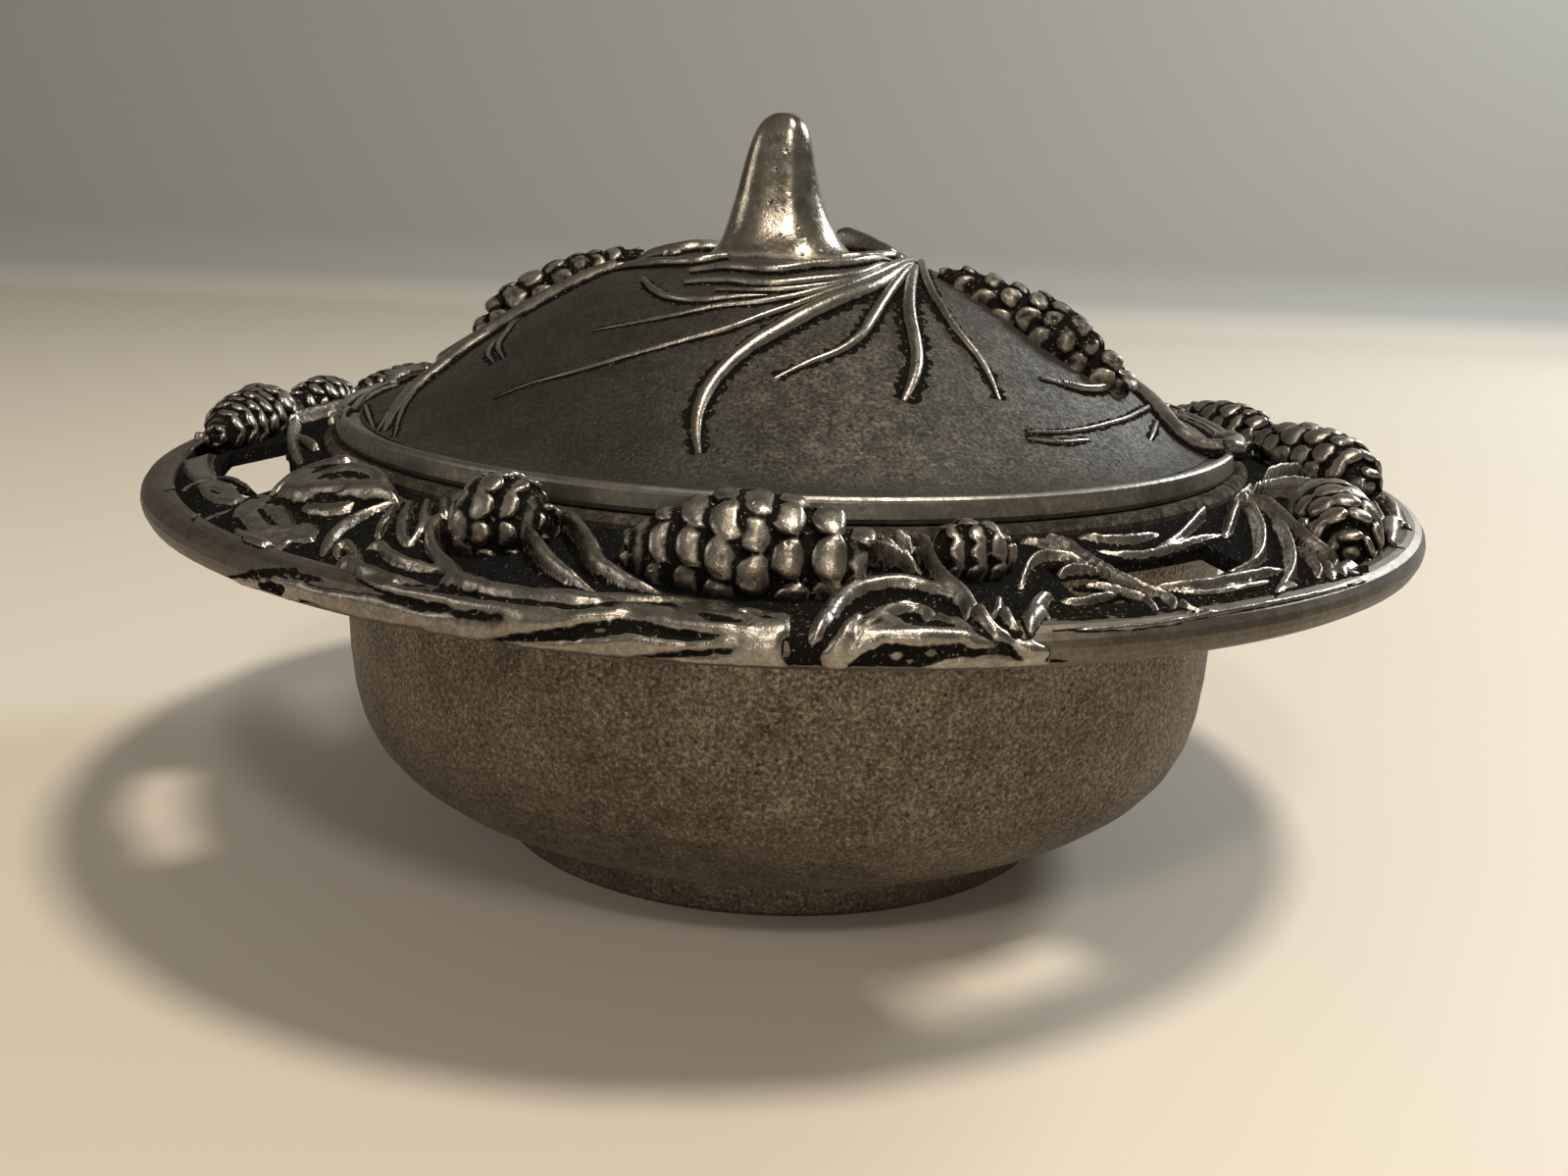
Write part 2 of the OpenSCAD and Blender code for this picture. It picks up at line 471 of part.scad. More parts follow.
module finial_root() {
    flank = finial_root_d * half * flank_share;
    color("Silver") for (t = [[1, root_shares], [-1, back_root_shares]])
        ridge([for (p = t[1])
            lid_point([t[0] * (flank / lid_r + p[0]) - finial_shift / lid_r, p[1]], finial_h * p[2])],
            [for (p = t[1]) strand_w * p[3]], [for (p = t[1]) needle_h * p[3]]);
}

bowl_wall();
foot_ring();
rim_ledge();
rim_web();
rim_hoop();
rim_cones();
rim_needles();
rim_strands();
rim_leaves();
rim_knots();
lid_dome();
lid_band();
lid_spigot();
lid_cones();
lid_needles();
lid_knots();
finial();
finial_root();
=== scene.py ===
# A covered serving bowl in cast pewter: a plain bowl with a wide pierced rim of pine
# cones, needles and branches, and a domed lid with the same relief and a branch-stub
# finial. Two castings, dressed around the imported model, all in metres.
import math

import bpy
import numpy as np
from mathutils import Matrix, Vector


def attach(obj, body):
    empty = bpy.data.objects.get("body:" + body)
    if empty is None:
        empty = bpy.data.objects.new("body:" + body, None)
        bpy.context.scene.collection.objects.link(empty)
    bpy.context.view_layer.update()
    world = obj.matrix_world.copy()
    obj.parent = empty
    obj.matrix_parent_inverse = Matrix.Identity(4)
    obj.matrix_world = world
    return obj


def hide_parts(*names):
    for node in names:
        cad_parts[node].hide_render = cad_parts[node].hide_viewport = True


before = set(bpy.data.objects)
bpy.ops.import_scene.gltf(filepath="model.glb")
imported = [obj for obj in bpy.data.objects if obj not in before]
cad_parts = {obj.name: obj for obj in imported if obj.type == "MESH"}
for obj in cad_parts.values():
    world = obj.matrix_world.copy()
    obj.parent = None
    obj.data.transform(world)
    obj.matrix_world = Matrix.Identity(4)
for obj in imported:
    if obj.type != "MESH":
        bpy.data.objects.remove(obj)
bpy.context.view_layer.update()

# The camera of the photograph, fitted to the foot, the lid's edge and the hoop: 0.27 m
# from the bowl's middle, seen from 15 degrees above it, held with a slight tilt.
PHOTO_W, PHOTO_H = 1599, 1199
LENS_PIXELS = 1617.0
SENSOR_MM = 36
camera_far, camera_aim = 0.2704, 0.035
camera_rise, camera_turn, camera_pitch, camera_roll = (math.radians(a) for a in (15.374, 0.12, 14.844, 2.331))
eye = Vector((0, -camera_far * math.cos(camera_rise), camera_aim + camera_far * math.sin(camera_rise)))
forward = Vector((math.sin(camera_turn) * math.cos(camera_pitch),
                  math.cos(camera_turn) * math.cos(camera_pitch), -math.sin(camera_pitch)))
level = forward.cross(Vector((0, 0, 1))).normalized()
upright = level.cross(forward)
right = level * math.cos(camera_roll) + upright * math.sin(camera_roll)
up = upright * math.cos(camera_roll) - level * math.sin(camera_roll)
bpy.ops.object.camera_add(location=eye)
camera = bpy.context.object
camera.name = "camera"
camera.matrix_world = Matrix((right, up, -forward)).transposed().to_4x4()
camera.matrix_world.translation = eye
camera.data.sensor_width = SENSOR_MM
camera.data.lens = SENSOR_MM * LENS_PIXELS / PHOTO_W
camera.data.clip_start = 0.01
bpy.context.scene.camera = camera

# The floor is a plain pale sheet that curves up into a plain grey backdrop, lit by soft
# lamps: a large cool one behind on the right, a warm one above, weak ones in front.
def turn_faces(inside=False):
    """turns all faces of the active piece outwards, or inwards"""
    bpy.ops.object.mode_set(mode="EDIT")
    bpy.ops.mesh.select_all(action="SELECT")
    bpy.ops.mesh.normals_make_consistent(inside=inside)
    bpy.ops.object.mode_set(mode="OBJECT")


def apply_modifier(piece, kind, **settings):
    """adds a modifier with its settings to the active piece and applies it"""
    modifier = piece.modifiers.new(kind.lower(), kind)
    for name, value in settings.items():
        setattr(modifier, name, value)
    bpy.ops.object.modifier_apply(modifier=modifier.name)


bpy.ops.object.select_all(action="DESELECT")
bpy.ops.mesh.primitive_plane_add(size=3, location=(0, -0.55, 0))
floor = bpy.context.object
floor.name = "floor"
bpy.ops.object.mode_set(mode="EDIT")
bpy.ops.mesh.select_all(action="DESELECT")
bpy.ops.object.mode_set(mode="OBJECT")
for edge in floor.data.edges:
    edge.select = all(floor.data.vertices[v].co.y > 0 for v in edge.vertices)
bpy.ops.object.mode_set(mode="EDIT")
bpy.ops.mesh.extrude_edges_move(TRANSFORM_OT_translate={"value": (0, 0, 1.6)})
bpy.ops.object.mode_set(mode="OBJECT")
turn_faces(inside=True)
apply_modifier(floor, "BEVEL", width=0.05, segments=12)
bpy.ops.object.shade_smooth()
bpy.ops.object.transform_apply(location=True)


def node(tree, kind, **values):
    """a node with its inputs set by name"""
    made = tree.nodes.new("ShaderNode" + kind)
    for name, value in values.items():
        made.inputs[name.replace("_", " ")].default_value = value
    return made


floor_paint = bpy.data.materials.new("floor_paint")
floor_paint.use_nodes = True
tree = floor_paint.node_tree
shader = tree.nodes["Principled BSDF"]
place, split, tint = (node(tree, kind) for kind in ("TexCoord", "SeparateXYZ", "ValToRGB"))
climb = node(tree, "MapRange", From_Max=0.02)
polish = node(tree, "MapRange", From_Max=0.02, To_Min=0.6, To_Max=0.9)
tint.color_ramp.elements[0].color = (0.60, 0.54, 0.455, 1)
tint.color_ramp.elements[1].color = (0.36, 0.36, 0.35, 1)
for source, output, target, slot in ((place, "Object", split, "Vector"), (split, "Z", climb, "Value"),
                                     (climb, "Result", tint, "Fac"), (tint, "Color", shader, "Base Color"),
                                     (split, "Z", polish, "Value"), (polish, "Result", shader, "Roughness")):
    tree.links.new(source.outputs[output], target.inputs[slot])
floor.data.materials.append(floor_paint)

surround = bpy.data.worlds.new("surround")
bpy.context.scene.world = surround
surround.use_nodes = True
surround.node_tree.nodes["Background"].inputs["Color"].default_value = (0.76, 0.72, 0.66, 1)
surround.node_tree.nodes["Background"].inputs["Strength"].default_value = 0.25


def lamp(name, place, size, power, tint):
    """a round soft lamp turned towards the bowl"""
    bpy.ops.object.light_add(type="AREA", location=place)
    light = bpy.context.object
    light.name = name
    light.data.shape = "DISK"
    light.data.size = size
    light.data.energy = power
    light.data.color = tint
    aim = Vector((0, 0, 0.05)) - Vector(place)
    light.rotation_euler = aim.to_track_quat("-Z", "Y").to_euler()


lamp("far_lamp", (0.85, 0.72, 0.62), 0.30, 8.8, (0.90, 0.97, 1.0))
lamp("ceiling_lamp", (0.27, -0.18, 1.0), 0.16, 8.5, (1.0, 0.91, 0.78))
lamp("left_lamp", (-0.75, -0.35, 0.40), 0.45, 1.0, (1.0, 0.95, 0.87))
lamp("high_lamp", (0.02, -0.60, 0.60), 0.09, 1.4, (1.0, 0.91, 0.78))
lamp("front_lamp", (0.06, -0.85, 0.20), 0.12, 0.9, (1.0, 0.90, 0.78))
bpy.context.scene.view_settings.view_transform = "Standard"

# The bowl's own surfaces: wall and foot are as cast in sand, a rough brown-grey pewter
# with a fine grain, open pits and a warm bloom where it was wiped. All finishes share
# one skin: blotches, grain and pits in the metal, and black patina where wear is low.
skin = bpy.data.node_groups.new("pewter_skin", "ShaderNodeTree")
for way, kind, names in (("INPUT", "Vector", ("Vector",)), ("INPUT", "Color", ("Metal", "Bloom", "Patina")),
                         ("INPUT", "Float", ("Wear", "Grain", "Pits", "Gloss", "Blotch", "Fineness")),
                         ("OUTPUT", "Color", ("Color",)),
                         ("OUTPUT", "Float", ("Roughness", "Metallic", "Height"))):
    for name in names:
        skin.interface.new_socket(name, in_out=way, socket_type="NodeSocket" + kind)
given = skin.nodes.new("NodeGroupInput").outputs
result = skin.nodes.new("NodeGroupOutput").inputs
join = skin.links.new


def fed(kind, sources, **settings):
    """the outputs of a new node of the skin, with its inputs linked or set by number"""
    made = skin.nodes.new("ShaderNode" + kind)
    for name, value in settings.items():
        setattr(made, name, value)
    for slot, source in sources.items():
        if isinstance(source, bpy.types.NodeSocket):
            join(source, made.inputs[slot])
        else:
            made.inputs[slot].default_value = source
    return made.outputs


def mixed(factor, a, b, blend="MIX"):
    """two colours, mixed or added"""
    return fed("Mix", {0: factor, 6: a, 7: b}, data_type="RGBA", blend_type=blend)[2]


def computed(operation, a, b, clamp=False):
    """a sum with two values"""
    return fed("Math", {0: a, 1: b}, operation=operation, use_clamp=clamp)[0]


def times(a, b):
    """two values multiplied"""
    return computed("MULTIPLY", a, b)


def spread(value, low, high):
    """a smooth step of a value between two bounds"""
    return fed("MapRange", {0: value, 1: low, 2: high}, interpolation_type="SMOOTHSTEP")[0]


finer = skin.nodes.new("ShaderNodeVectorMath")
finer.operation = "SCALE"
join(given["Vector"], finer.inputs[0])
join(given["Fineness"], finer.inputs["Scale"])
textures = [node(skin, "TexNoise", Scale=55.0, Detail=4.0, Roughness=0.65),
            node(skin, "TexNoise", Scale=260.0, Detail=5.0, Roughness=0.6),
            node(skin, "TexNoise", Scale=1150.0, Detail=3.0, Roughness=0.7),
            node(skin, "TexVoronoi", Scale=420.0, Randomness=1.0),
            node(skin, "TexNoise", Scale=330.0, Detail=2.0)]
for texture in textures:
    join(finer.outputs[0], texture.inputs["Vector"])
blotch, cloud, sand, pit, pit_size = (texture.outputs[0] for texture in textures)
pit_mask = times(times(spread(pit, 0.26, 0.12), spread(pit_size, 0.52, 0.66)), given["Pits"])
tone = computed("ADD", times(spread(blotch, 0.3, 0.7), 0.55), times(spread(cloud, 0.3, 0.7), 0.45))
cast = mixed(times(tone, given["Blotch"]), given["Metal"], given["Bloom"])
speck = times(spread(sand, 0.62, 0.30), given["Grain"])
cast = mixed(times(speck, 0.55), cast, given["Patina"])
frost = times(spread(sand, 0.54, 0.70), given["Grain"])
cast = mixed(times(frost, 0.5), cast, given["Bloom"], "ADD")
cast = mixed(times(pit_mask, 0.85), cast, given["Patina"])
uneven = computed("SUBTRACT", cloud, 0.5)
ragged = computed("ADD", given["Wear"], times(uneven, 0.45))
clean = computed("MAXIMUM", spread(ragged, 0.18, 0.55), times(spread(sand, 0.61, 0.70), 0.55))
join(mixed(clean, given["Patina"], cast), result["Color"])
rough = computed("ADD", computed("SUBTRACT", 1.0, given["Gloss"]), times(speck, 0.25))
rough = computed("ADD", rough, times(uneven, 0.22))
rough = computed("ADD", rough, times(computed("SUBTRACT", 1.0, clean), 0.35), clamp=True)
join(rough, result["Roughness"])
join(spread(clean, 0.0, 1.0), result["Metallic"])
height = computed("ADD", times(cloud, 0.35), times(times(sand, given["Grain"]), 0.5))
join(computed("SUBTRACT", height, times(pit_mask, 0.8)), result["Height"])


def pewter(name, metal, bloom, patina, grain, pits, gloss, blotch, bump, fine=1.0, wear=1.0,
           patina_gloss=0.0):
    """a pewter finish; wear is a number, or the name of the attribute that holds it"""
    made = bpy.data.materials.new(name)
    made.use_nodes = True
    tree = made.node_tree
    shader = tree.nodes["Principled BSDF"]
    finish = tree.nodes.new("ShaderNodeGroup")
    finish.node_tree = skin
    for slot, value in (("Metal", (*metal, 1)), ("Bloom", (*bloom, 1)), ("Patina", (*patina, 1)),
                        ("Grain", grain), ("Pits", pits), ("Gloss", gloss), ("Blotch", blotch),
                        ("Fineness", fine)):
        finish.inputs[slot].default_value = value
    if isinstance(wear, str):
        worn = tree.nodes.new("ShaderNodeAttribute")
        worn.attribute_name = wear
        tree.links.new(worn.outputs["Fac"], finish.inputs["Wear"])
    else:
        finish.inputs["Wear"].default_value = wear
    relief = node(tree, "Bump", Strength=bump, Distance=0.0003)
    for source, output, target, slot in ((node(tree, "TexCoord"), "Object", finish, "Vector"),
                                         (finish, "Color", shader, "Base Color"),
                                         (finish, "Roughness", shader, "Roughness"),
                                         (finish, "Height", relief, "Height"),
                                         (relief, "Normal", shader, "Normal")):
        tree.links.new(source.outputs[output], target.inputs[slot])
    shader.inputs["Metallic"].default_value = 1.0
    if wear != 1.0:
        tree.links.new(finish.outputs["Metallic"], shader.inputs["Metallic"])
    shader.inputs["Specular IOR Level"].default_value = patina_gloss
    return made


def finish_node(name, material):
    """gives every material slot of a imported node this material"""
    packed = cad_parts[name]
    if not packed.material_slots:
        packed.data.materials.append(material)
    for slot in packed.material_slots:
        slot.material = material


sand_cast = pewter("sand_cast_pewter", (0.125, 0.100, 0.070), (0.26, 0.215, 0.160), (0.025, 0.02, 0.016),
                   grain=1.1, pits=0.8, gloss=0.50, blotch=0.9, bump=1.0, fine=1.6)
finish_node("bowl_wall", sand_cast)
finish_node("foot_ring", sand_cast)

# The rim's web, hoop and ledge keep their imported shapes: the web is black in its recesses
# and the hoop is wiped half clean. The ledge is dark pewter, its colour darkened further as
# painted shade of the gap under the lid's edge. The turned ground under all relief is measured on them.
class Turned:
    """a turned surface: its outline as radii and heights, from the axis outwards and over"""
    def __init__(self, outline):
        self.outline = np.array(outline)
        steps = np.diff(self.outline, axis=0)
        self.along = np.concatenate([[0], np.cumsum(np.hypot(*steps.T))])

    def at(self, bearing, along, lift=0.0):
        """points at bearings and distances along the outline, lifted off the surface"""
        ends = np.clip(along, self.along[0] + 1e-6, self.along[-1] - 1e-6)
        near, far = ([np.interp(ends + shift, self.along, self.outline[:, i]) for i in (0, 1)]
                     for shift in (-0.0004, 0.0004))
        slope = np.array(far) - np.array(near)
        slope /= np.hypot(*slope)
        radius = np.interp(ends, self.along, self.outline[:, 0]) - slope[1] * lift + slope[0] * (along - ends)
        height = np.interp(ends, self.along, self.outline[:, 1]) + slope[0] * lift + slope[1] * (along - ends)
        return np.stack([radius * np.cos(bearing), radius * np.sin(bearing), height], -1)

    def nearest(self, points):
        """bearings, distances along the outline and heights off the surface of points"""
        points = np.atleast_2d(points)
        flat = np.stack([np.hypot(points[:, 0], points[:, 1]), points[:, 2]], 1)
        start, step = self.outline[:-1], np.diff(self.outline, axis=0)
        share = ((flat[:, None] - start) * step).sum(2) / (step ** 2).sum(1)
        share = np.clip(share, 0, 1)
        gap = flat[:, None] - start - share[..., None] * step
        best = np.hypot(gap[..., 0], gap[..., 1]).argmin(1)
        pick = np.arange(len(flat)), best
        over = step[best, 0] * gap[pick][:, 1] - step[best, 1] * gap[pick][:, 0]
        off = np.copysign(np.hypot(gap[pick][:, 0], gap[pick][:, 1]), over)
        along = self.along[best] + share[pick] * np.hypot(step[best, 0], step[best, 1])
        return np.arctan2(points[:, 1], points[:, 0]), along, off


def seen_at(pixel, ground, lift=0.0):
    """the point where the line of sight through a photograph pixel first comes within a
    lift of a turned surface, or comes nearest to it"""
    x, y = (pixel[0] - PHOTO_W / 2) / LENS_PIXELS, (PHOTO_H / 2 - pixel[1]) / LENS_PIXELS
    ray = np.array(forward + right * x + up * y)
    path = np.array(eye) + ray * np.arange(0.14, 0.42, 0.0004)[:, None]
    off = ground.nearest(path)[2] - lift
    under = np.nonzero(off < 0)[0]
    if not len(under):
        return Vector(path[np.abs(off).argmin()])
    first = max(under[0], 1)
    share = off[first - 1] / (off[first - 1] - off[first])
    return Vector(path[first - 1] + (path[first] - path[first - 1]) * share)


def turned_top(names, bearing, edge=None):
    """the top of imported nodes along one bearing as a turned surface, down to an edge height"""
    inward = Vector((math.cos(bearing), math.sin(bearing), 0))
    outline = []
    for radius in np.arange(0.0, 0.1, 0.0004):
        hits = [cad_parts[name].ray_cast(inward * radius + Vector((0, 0, 0.2)), Vector((0, 0, -1)))
                for name in names]
        if any(hit[0] for hit in hits):
            outline.append((radius, max(hit[1].z for hit in hits if hit[0])))
    if edge is not None:
        outline = [point for point in outline if point[0] < 0.0985]
        for height in np.arange(outline[-1][1] - 0.0002, edge, -0.0003):
            hits = [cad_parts[name].ray_cast(inward * 0.2 + Vector((0, 0, height)), -inward)
                    for name in names]
            outline.append((max(hit[1].xy.length for hit in hits if hit[0]), height))
    kept = outline[:1]
    for point, after in zip(outline[1:], outline[2:]):
        chord = np.subtract(after, kept[-1])
        off = np.subtract(point, kept[-1])
        if abs(chord[0] * off[1] - chord[1] * off[0]) > 0.000012 * np.hypot(*chord):
            kept.append(point)
    return Turned(kept + outline[-1:])


rim_ground = turned_top(("rim_ledge", "rim_web", "rim_hoop"), math.radians(120), edge=0.0550)
hoop_cast = pewter("hoop_pewter", (0.095, 0.079, 0.062), (0.18, 0.155, 0.122), (0.010, 0.009, 0.008),
                   grain=0.35, pits=0.3, gloss=0.54, blotch=1.0, bump=0.45, fine=1.5)
# the ledge's dark colour is partly patina and partly painted shade of the gap under the lid's edge
ledge_painted_shade_cast = pewter("ledge_painted_shade_pewter", (0.075, 0.064, 0.050), (0.17, 0.148, 0.118), (0.014, 0.012, 0.010),
                    grain=1.0, pits=0.4, gloss=0.50, blotch=1.0, bump=0.8, fine=1.8, wear=0.33)
web_cast = pewter("web_patina", (0.10, 0.095, 0.085), (0.16, 0.15, 0.14), (0.007, 0.007, 0.007),
                  grain=1.0, pits=0.6, gloss=0.45, blotch=0.6, bump=0.9, fine=2.0, wear=0.05)
finish_node("rim_hoop", hoop_cast)
finish_node("rim_web", web_cast)
finish_node("rim_ledge", ledge_painted_shade_cast)


def mesh_piece(name, points, faces):
    """a new piece from its points and faces"""
    mesh = bpy.data.meshes.new(name)
    mesh.from_pydata(points, [], faces)
    piece = bpy.data.objects.new(name, mesh)
    bpy.context.scene.collection.objects.link(piece)
    return piece


def select_only(pieces):
    """selects these pieces alone, the first one active"""
    bpy.ops.object.select_all(action="DESELECT")
    for piece in pieces:
        piece.select_set(True)
    bpy.context.view_layer.objects.active = pieces[0]


def set_wear(piece, values):
    """keeps a value from 0, in a recess, to 1, on a crest, at each point of a piece"""
    layer = piece.data.attributes.new("wear", "FLOAT", "POINT")
    layer.data.foreach_set("value", np.clip(values, 0, 1).astype(np.float32))


def coat(piece, material):
    """gives a new piece its one finish"""
    piece.data.materials.clear()
    piece.data.materials.append(material)


def turned_by(turn, point):
    """a point turned round the bowl's axis by some degrees"""
    return Matrix.Rotation(math.radians(turn), 3, "Z") @ point


# The relief of the rim, as the mould gives it: one skin of heights over web and hoop, in
# which bands, leaves and knots are raised and grooves are cut, polished on the crests and
# black between. Sides that the photograph hides repeat the seen ones, turned.
class Relief:
    """heights painted over a turned ground, on a grid of bearings and distances along it"""
    # a band fades over these shares of its length, to these shares of its width and height
    fade_in, fade_out = 0.15, 0.2
    end_width, end_height = 0.45, 0.25
    # the power of its round section, and the film of patina over the ground beside it
    roundness, film = 2.2, 0.00005
    # radians of bearing in a metre at the inner edge of the rim
    bearing_per_metre = 14

    def __init__(self, ground, start, cell, floor):
        self.ground, self.cell, self.floor = ground, cell, floor
        self.along = np.arange(start, ground.along[-1] - 0.0002, cell)
        mean_radius = np.interp(self.along, ground.along, ground.outline[:, 0]).mean()
        self.rows = int(2 * math.pi * mean_radius / cell)
        self.step = 2 * math.pi / self.rows
        self.height = np.full((self.rows, len(self.along)), floor)

    def near(self, bearing, along, reach):
        """the cells round some places: their indices, bearings and distances"""
        margin = reach * self.bearing_per_metre
        first, last = (bearing.min() - margin) / self.step, (bearing.max() + margin) / self.step
        rows = np.arange(int(first), int(last) + 2)
        columns = np.nonzero((self.along > along.min() - reach) & (self.along < along.max() + reach))[0]
        return np.ix_(rows % self.rows, columns), (rows * self.step)[:, None], self.along[columns][None]

    def crown(self, far):
        """the share of full height over a rounded section, 1 inside and 0 at its edge"""
        return (1 - far.clip(0, 1) ** self.roundness) ** 0.5

    def lay(self, cells, where, made, choose=np.maximum):
        """gives cells the higher, or the lower, of their own height and a new one"""
        self.height[cells] = np.where(where, choose(self.height[cells], made), self.height[cells])

    def stroke(self, path, half, tall, cut=False):
        """a band along a path, raised, or a groove cut: half widths and heights in metres
        at its start, middle and end; both ends fade out"""
        bearing, along, _ = self.ground.nearest(path)
        bearing = np.unwrap(bearing)
        share = np.linspace(0, 1, len(path))
        half, tall = (np.interp(share, np.linspace(0, 1, len(row)), row) for row in (half, tall))
        fade = np.minimum(share / self.fade_in, (1 - share) / self.fade_out).clip(0, 1) ** 0.5
        half = half * (self.end_width + (1 - self.end_width) * fade)
        cells, b, a = self.near(bearing, along, half.max())
        radius = np.hypot(path[:, 0], path[:, 1])
        far = np.hypot((b[..., None] - bearing) * radius, a[..., None] - along) / half
        at = far.argmin(-1)
        far = far.min(-1) * (1 + 0.05 * np.sin(b * 260 + a * 900) * np.sin(a * 1700 - b * 90))
        if cut:
            made = np.maximum(self.height[cells] - tall[at] * fade[at] * self.crown(far), self.film)
            self.lay(cells, far < 1, made, np.minimum)
        else:
            top = tall[at] * (self.end_height + (1 - self.end_height) * fade[at])
            self.lay(cells, far < 1, self.floor + (top - self.floor) * self.crown(far))

    def patch(self, points, tall, edge):
        """an area inside a closed line raised to one height, its edge rounded"""
        bearing, along, _ = self.ground.nearest(points)
        bearing = np.unwrap(bearing)
        cells, b, a = self.near(bearing, along, 0.0005)
        radius = np.interp(along, self.ground.along, self.ground.outline[:, 0]).mean()
        inside = np.zeros(np.broadcast(b, a).shape, dtype=bool)
        gap = np.full(inside.shape, 1.0)
        for k in range(len(points)):
            b0, a0, b1, a1 = bearing[k - 1], along[k - 1], bearing[k], along[k]
            if a0 != a1:
                inside ^= ((a < a0) != (a < a1)) & (b < (b1 - b0) * (a - a0) / (a1 - a0) + b0)
            dx, dy = (b1 - b0) * radius, a1 - a0
            t = (((b - b0) * radius * dx + (a - a0) * dy) / (dx * dx + dy * dy + 1e-12)).clip(0, 1)
            gap = np.minimum(gap, np.hypot((b - b0) * radius - t * dx, a - a0 - t * dy))
        self.lay(cells, inside, self.floor + (tall - self.floor) * self.crown(1 - gap / edge))

    @staticmethod
    def blurred(field, cells, passes=2):
        """a field averaged over a square of cells either way, some times over"""
        for _ in range(passes):
            for axis in (0, 1):
                field = sum(np.roll(field, k, axis) for k in range(-cells, cells + 1)) / (2 * cells + 1)
        return field

    def skin(self, name, sunk, faces):
        """the raised cells as one closed piece that reaches down into the ground"""
        high = self.height > self.floor + 0.00008
        cell = high | np.roll(high, -1, 0)
        cell |= np.roll(cell, -1, 1)
        cell[:, 0] = cell[:, -1] = cell[:, -2] = False
        for _ in range(4):
            beside, over, across = np.roll(cell, -1, 0), np.roll(cell, -1, 1), np.roll(cell, (-1, -1), (0, 1))
            cell |= np.roll(cell & across & ~beside & ~over, 1, 0) | (beside & over & ~cell & ~across)
        i, j = np.nonzero(cell)
        after = (i + 1) % self.rows
        count = len(self.along)
        corners = [i * count + j, i * count + j + 1, after * count + j + 1, after * count + j]
        used, back = np.unique(np.stack(corners), return_inverse=True)
        a, b, c, d = back.reshape(4, -1)
        low = len(used)
        quads = [np.stack((a, b, c, d), 1), np.stack((d, c, b, a), 1) + low]
        for shift, axis, p, q in ((1, 1, d, a), (-1, 1, b, c), (1, 0, a, b), (-1, 0, c, d)):
            edge = ~np.roll(cell, shift, axis)[i, j]
            quads.append(np.stack((q, p, p + low, q + low), 1)[edge])
        bearing, along = used // count * self.step, self.along[used % count]
        top = self.ground.at(bearing, along, self.height[used // count, used % count])
        base = self.ground.at(bearing, along, np.full(low, -sunk))
        piece = mesh_piece(name, np.concatenate((top, base)).tolist(), np.concatenate(quads).tolist())
        select_only([piece])
        apply_modifier(piece, "DECIMATE", ratio=min(1.0, faces / (len(piece.data.polygons) * 2)))
        bpy.ops.object.shade_smooth()
        return piece

    def sample(self, field, piece):
        """a field's values at the points of a piece, and the points' heights off the ground"""
        place = np.empty(len(piece.data.vertices) * 3)
        piece.data.vertices.foreach_get("co", place)
        bearing, along, off = self.ground.nearest(place.reshape(-1, 3))
        row = np.round(bearing / self.step).astype(int) % self.rows
        column = np.round((along - self.along[0]) / self.cell).astype(int).clip(0, len(self.along) - 1)
        return field[row, column], off


def smooth_line(points, step):
    """points on a smooth line through the given ones, about a step apart"""
    bpy.ops.curve.primitive_bezier_curve_add()
    curve = bpy.context.object
    line = curve.data.splines[0]
    line.bezier_points.add(len(points) - 2)
    for knot, point in zip(line.bezier_points, points):
        knot.co = point
        knot.handle_left_type = knot.handle_right_type = "AUTO"
    curve.data.resolution_u = 12
    bpy.ops.object.convert(target="MESH")
    path = np.array([v.co for v in bpy.context.object.data.vertices])
    bpy.ops.object.delete()
    along = np.concatenate([[0], np.cumsum(np.linalg.norm(np.diff(path, axis=0), axis=1))])
    stops = np.linspace(0, along[-1], max(6, int(along[-1] / step)))
    return np.stack([np.interp(stops, along, path[:, axis]) for axis in range(3)], 1)


def seen_line(pixels, ground, heights, turn=0.0, step=0.0007):
    """the smooth line over a turned ground whose crest is seen along these pixels"""
    share = np.linspace(0, 1, len(pixels))
    lifts = np.interp(share, (0, 0.5, 1), heights)
    points = [seen_at(pixel, ground, lift) for pixel, lift in zip(pixels, lifts)]
    return smooth_line([turned_by(turn, point) for point in points], step)


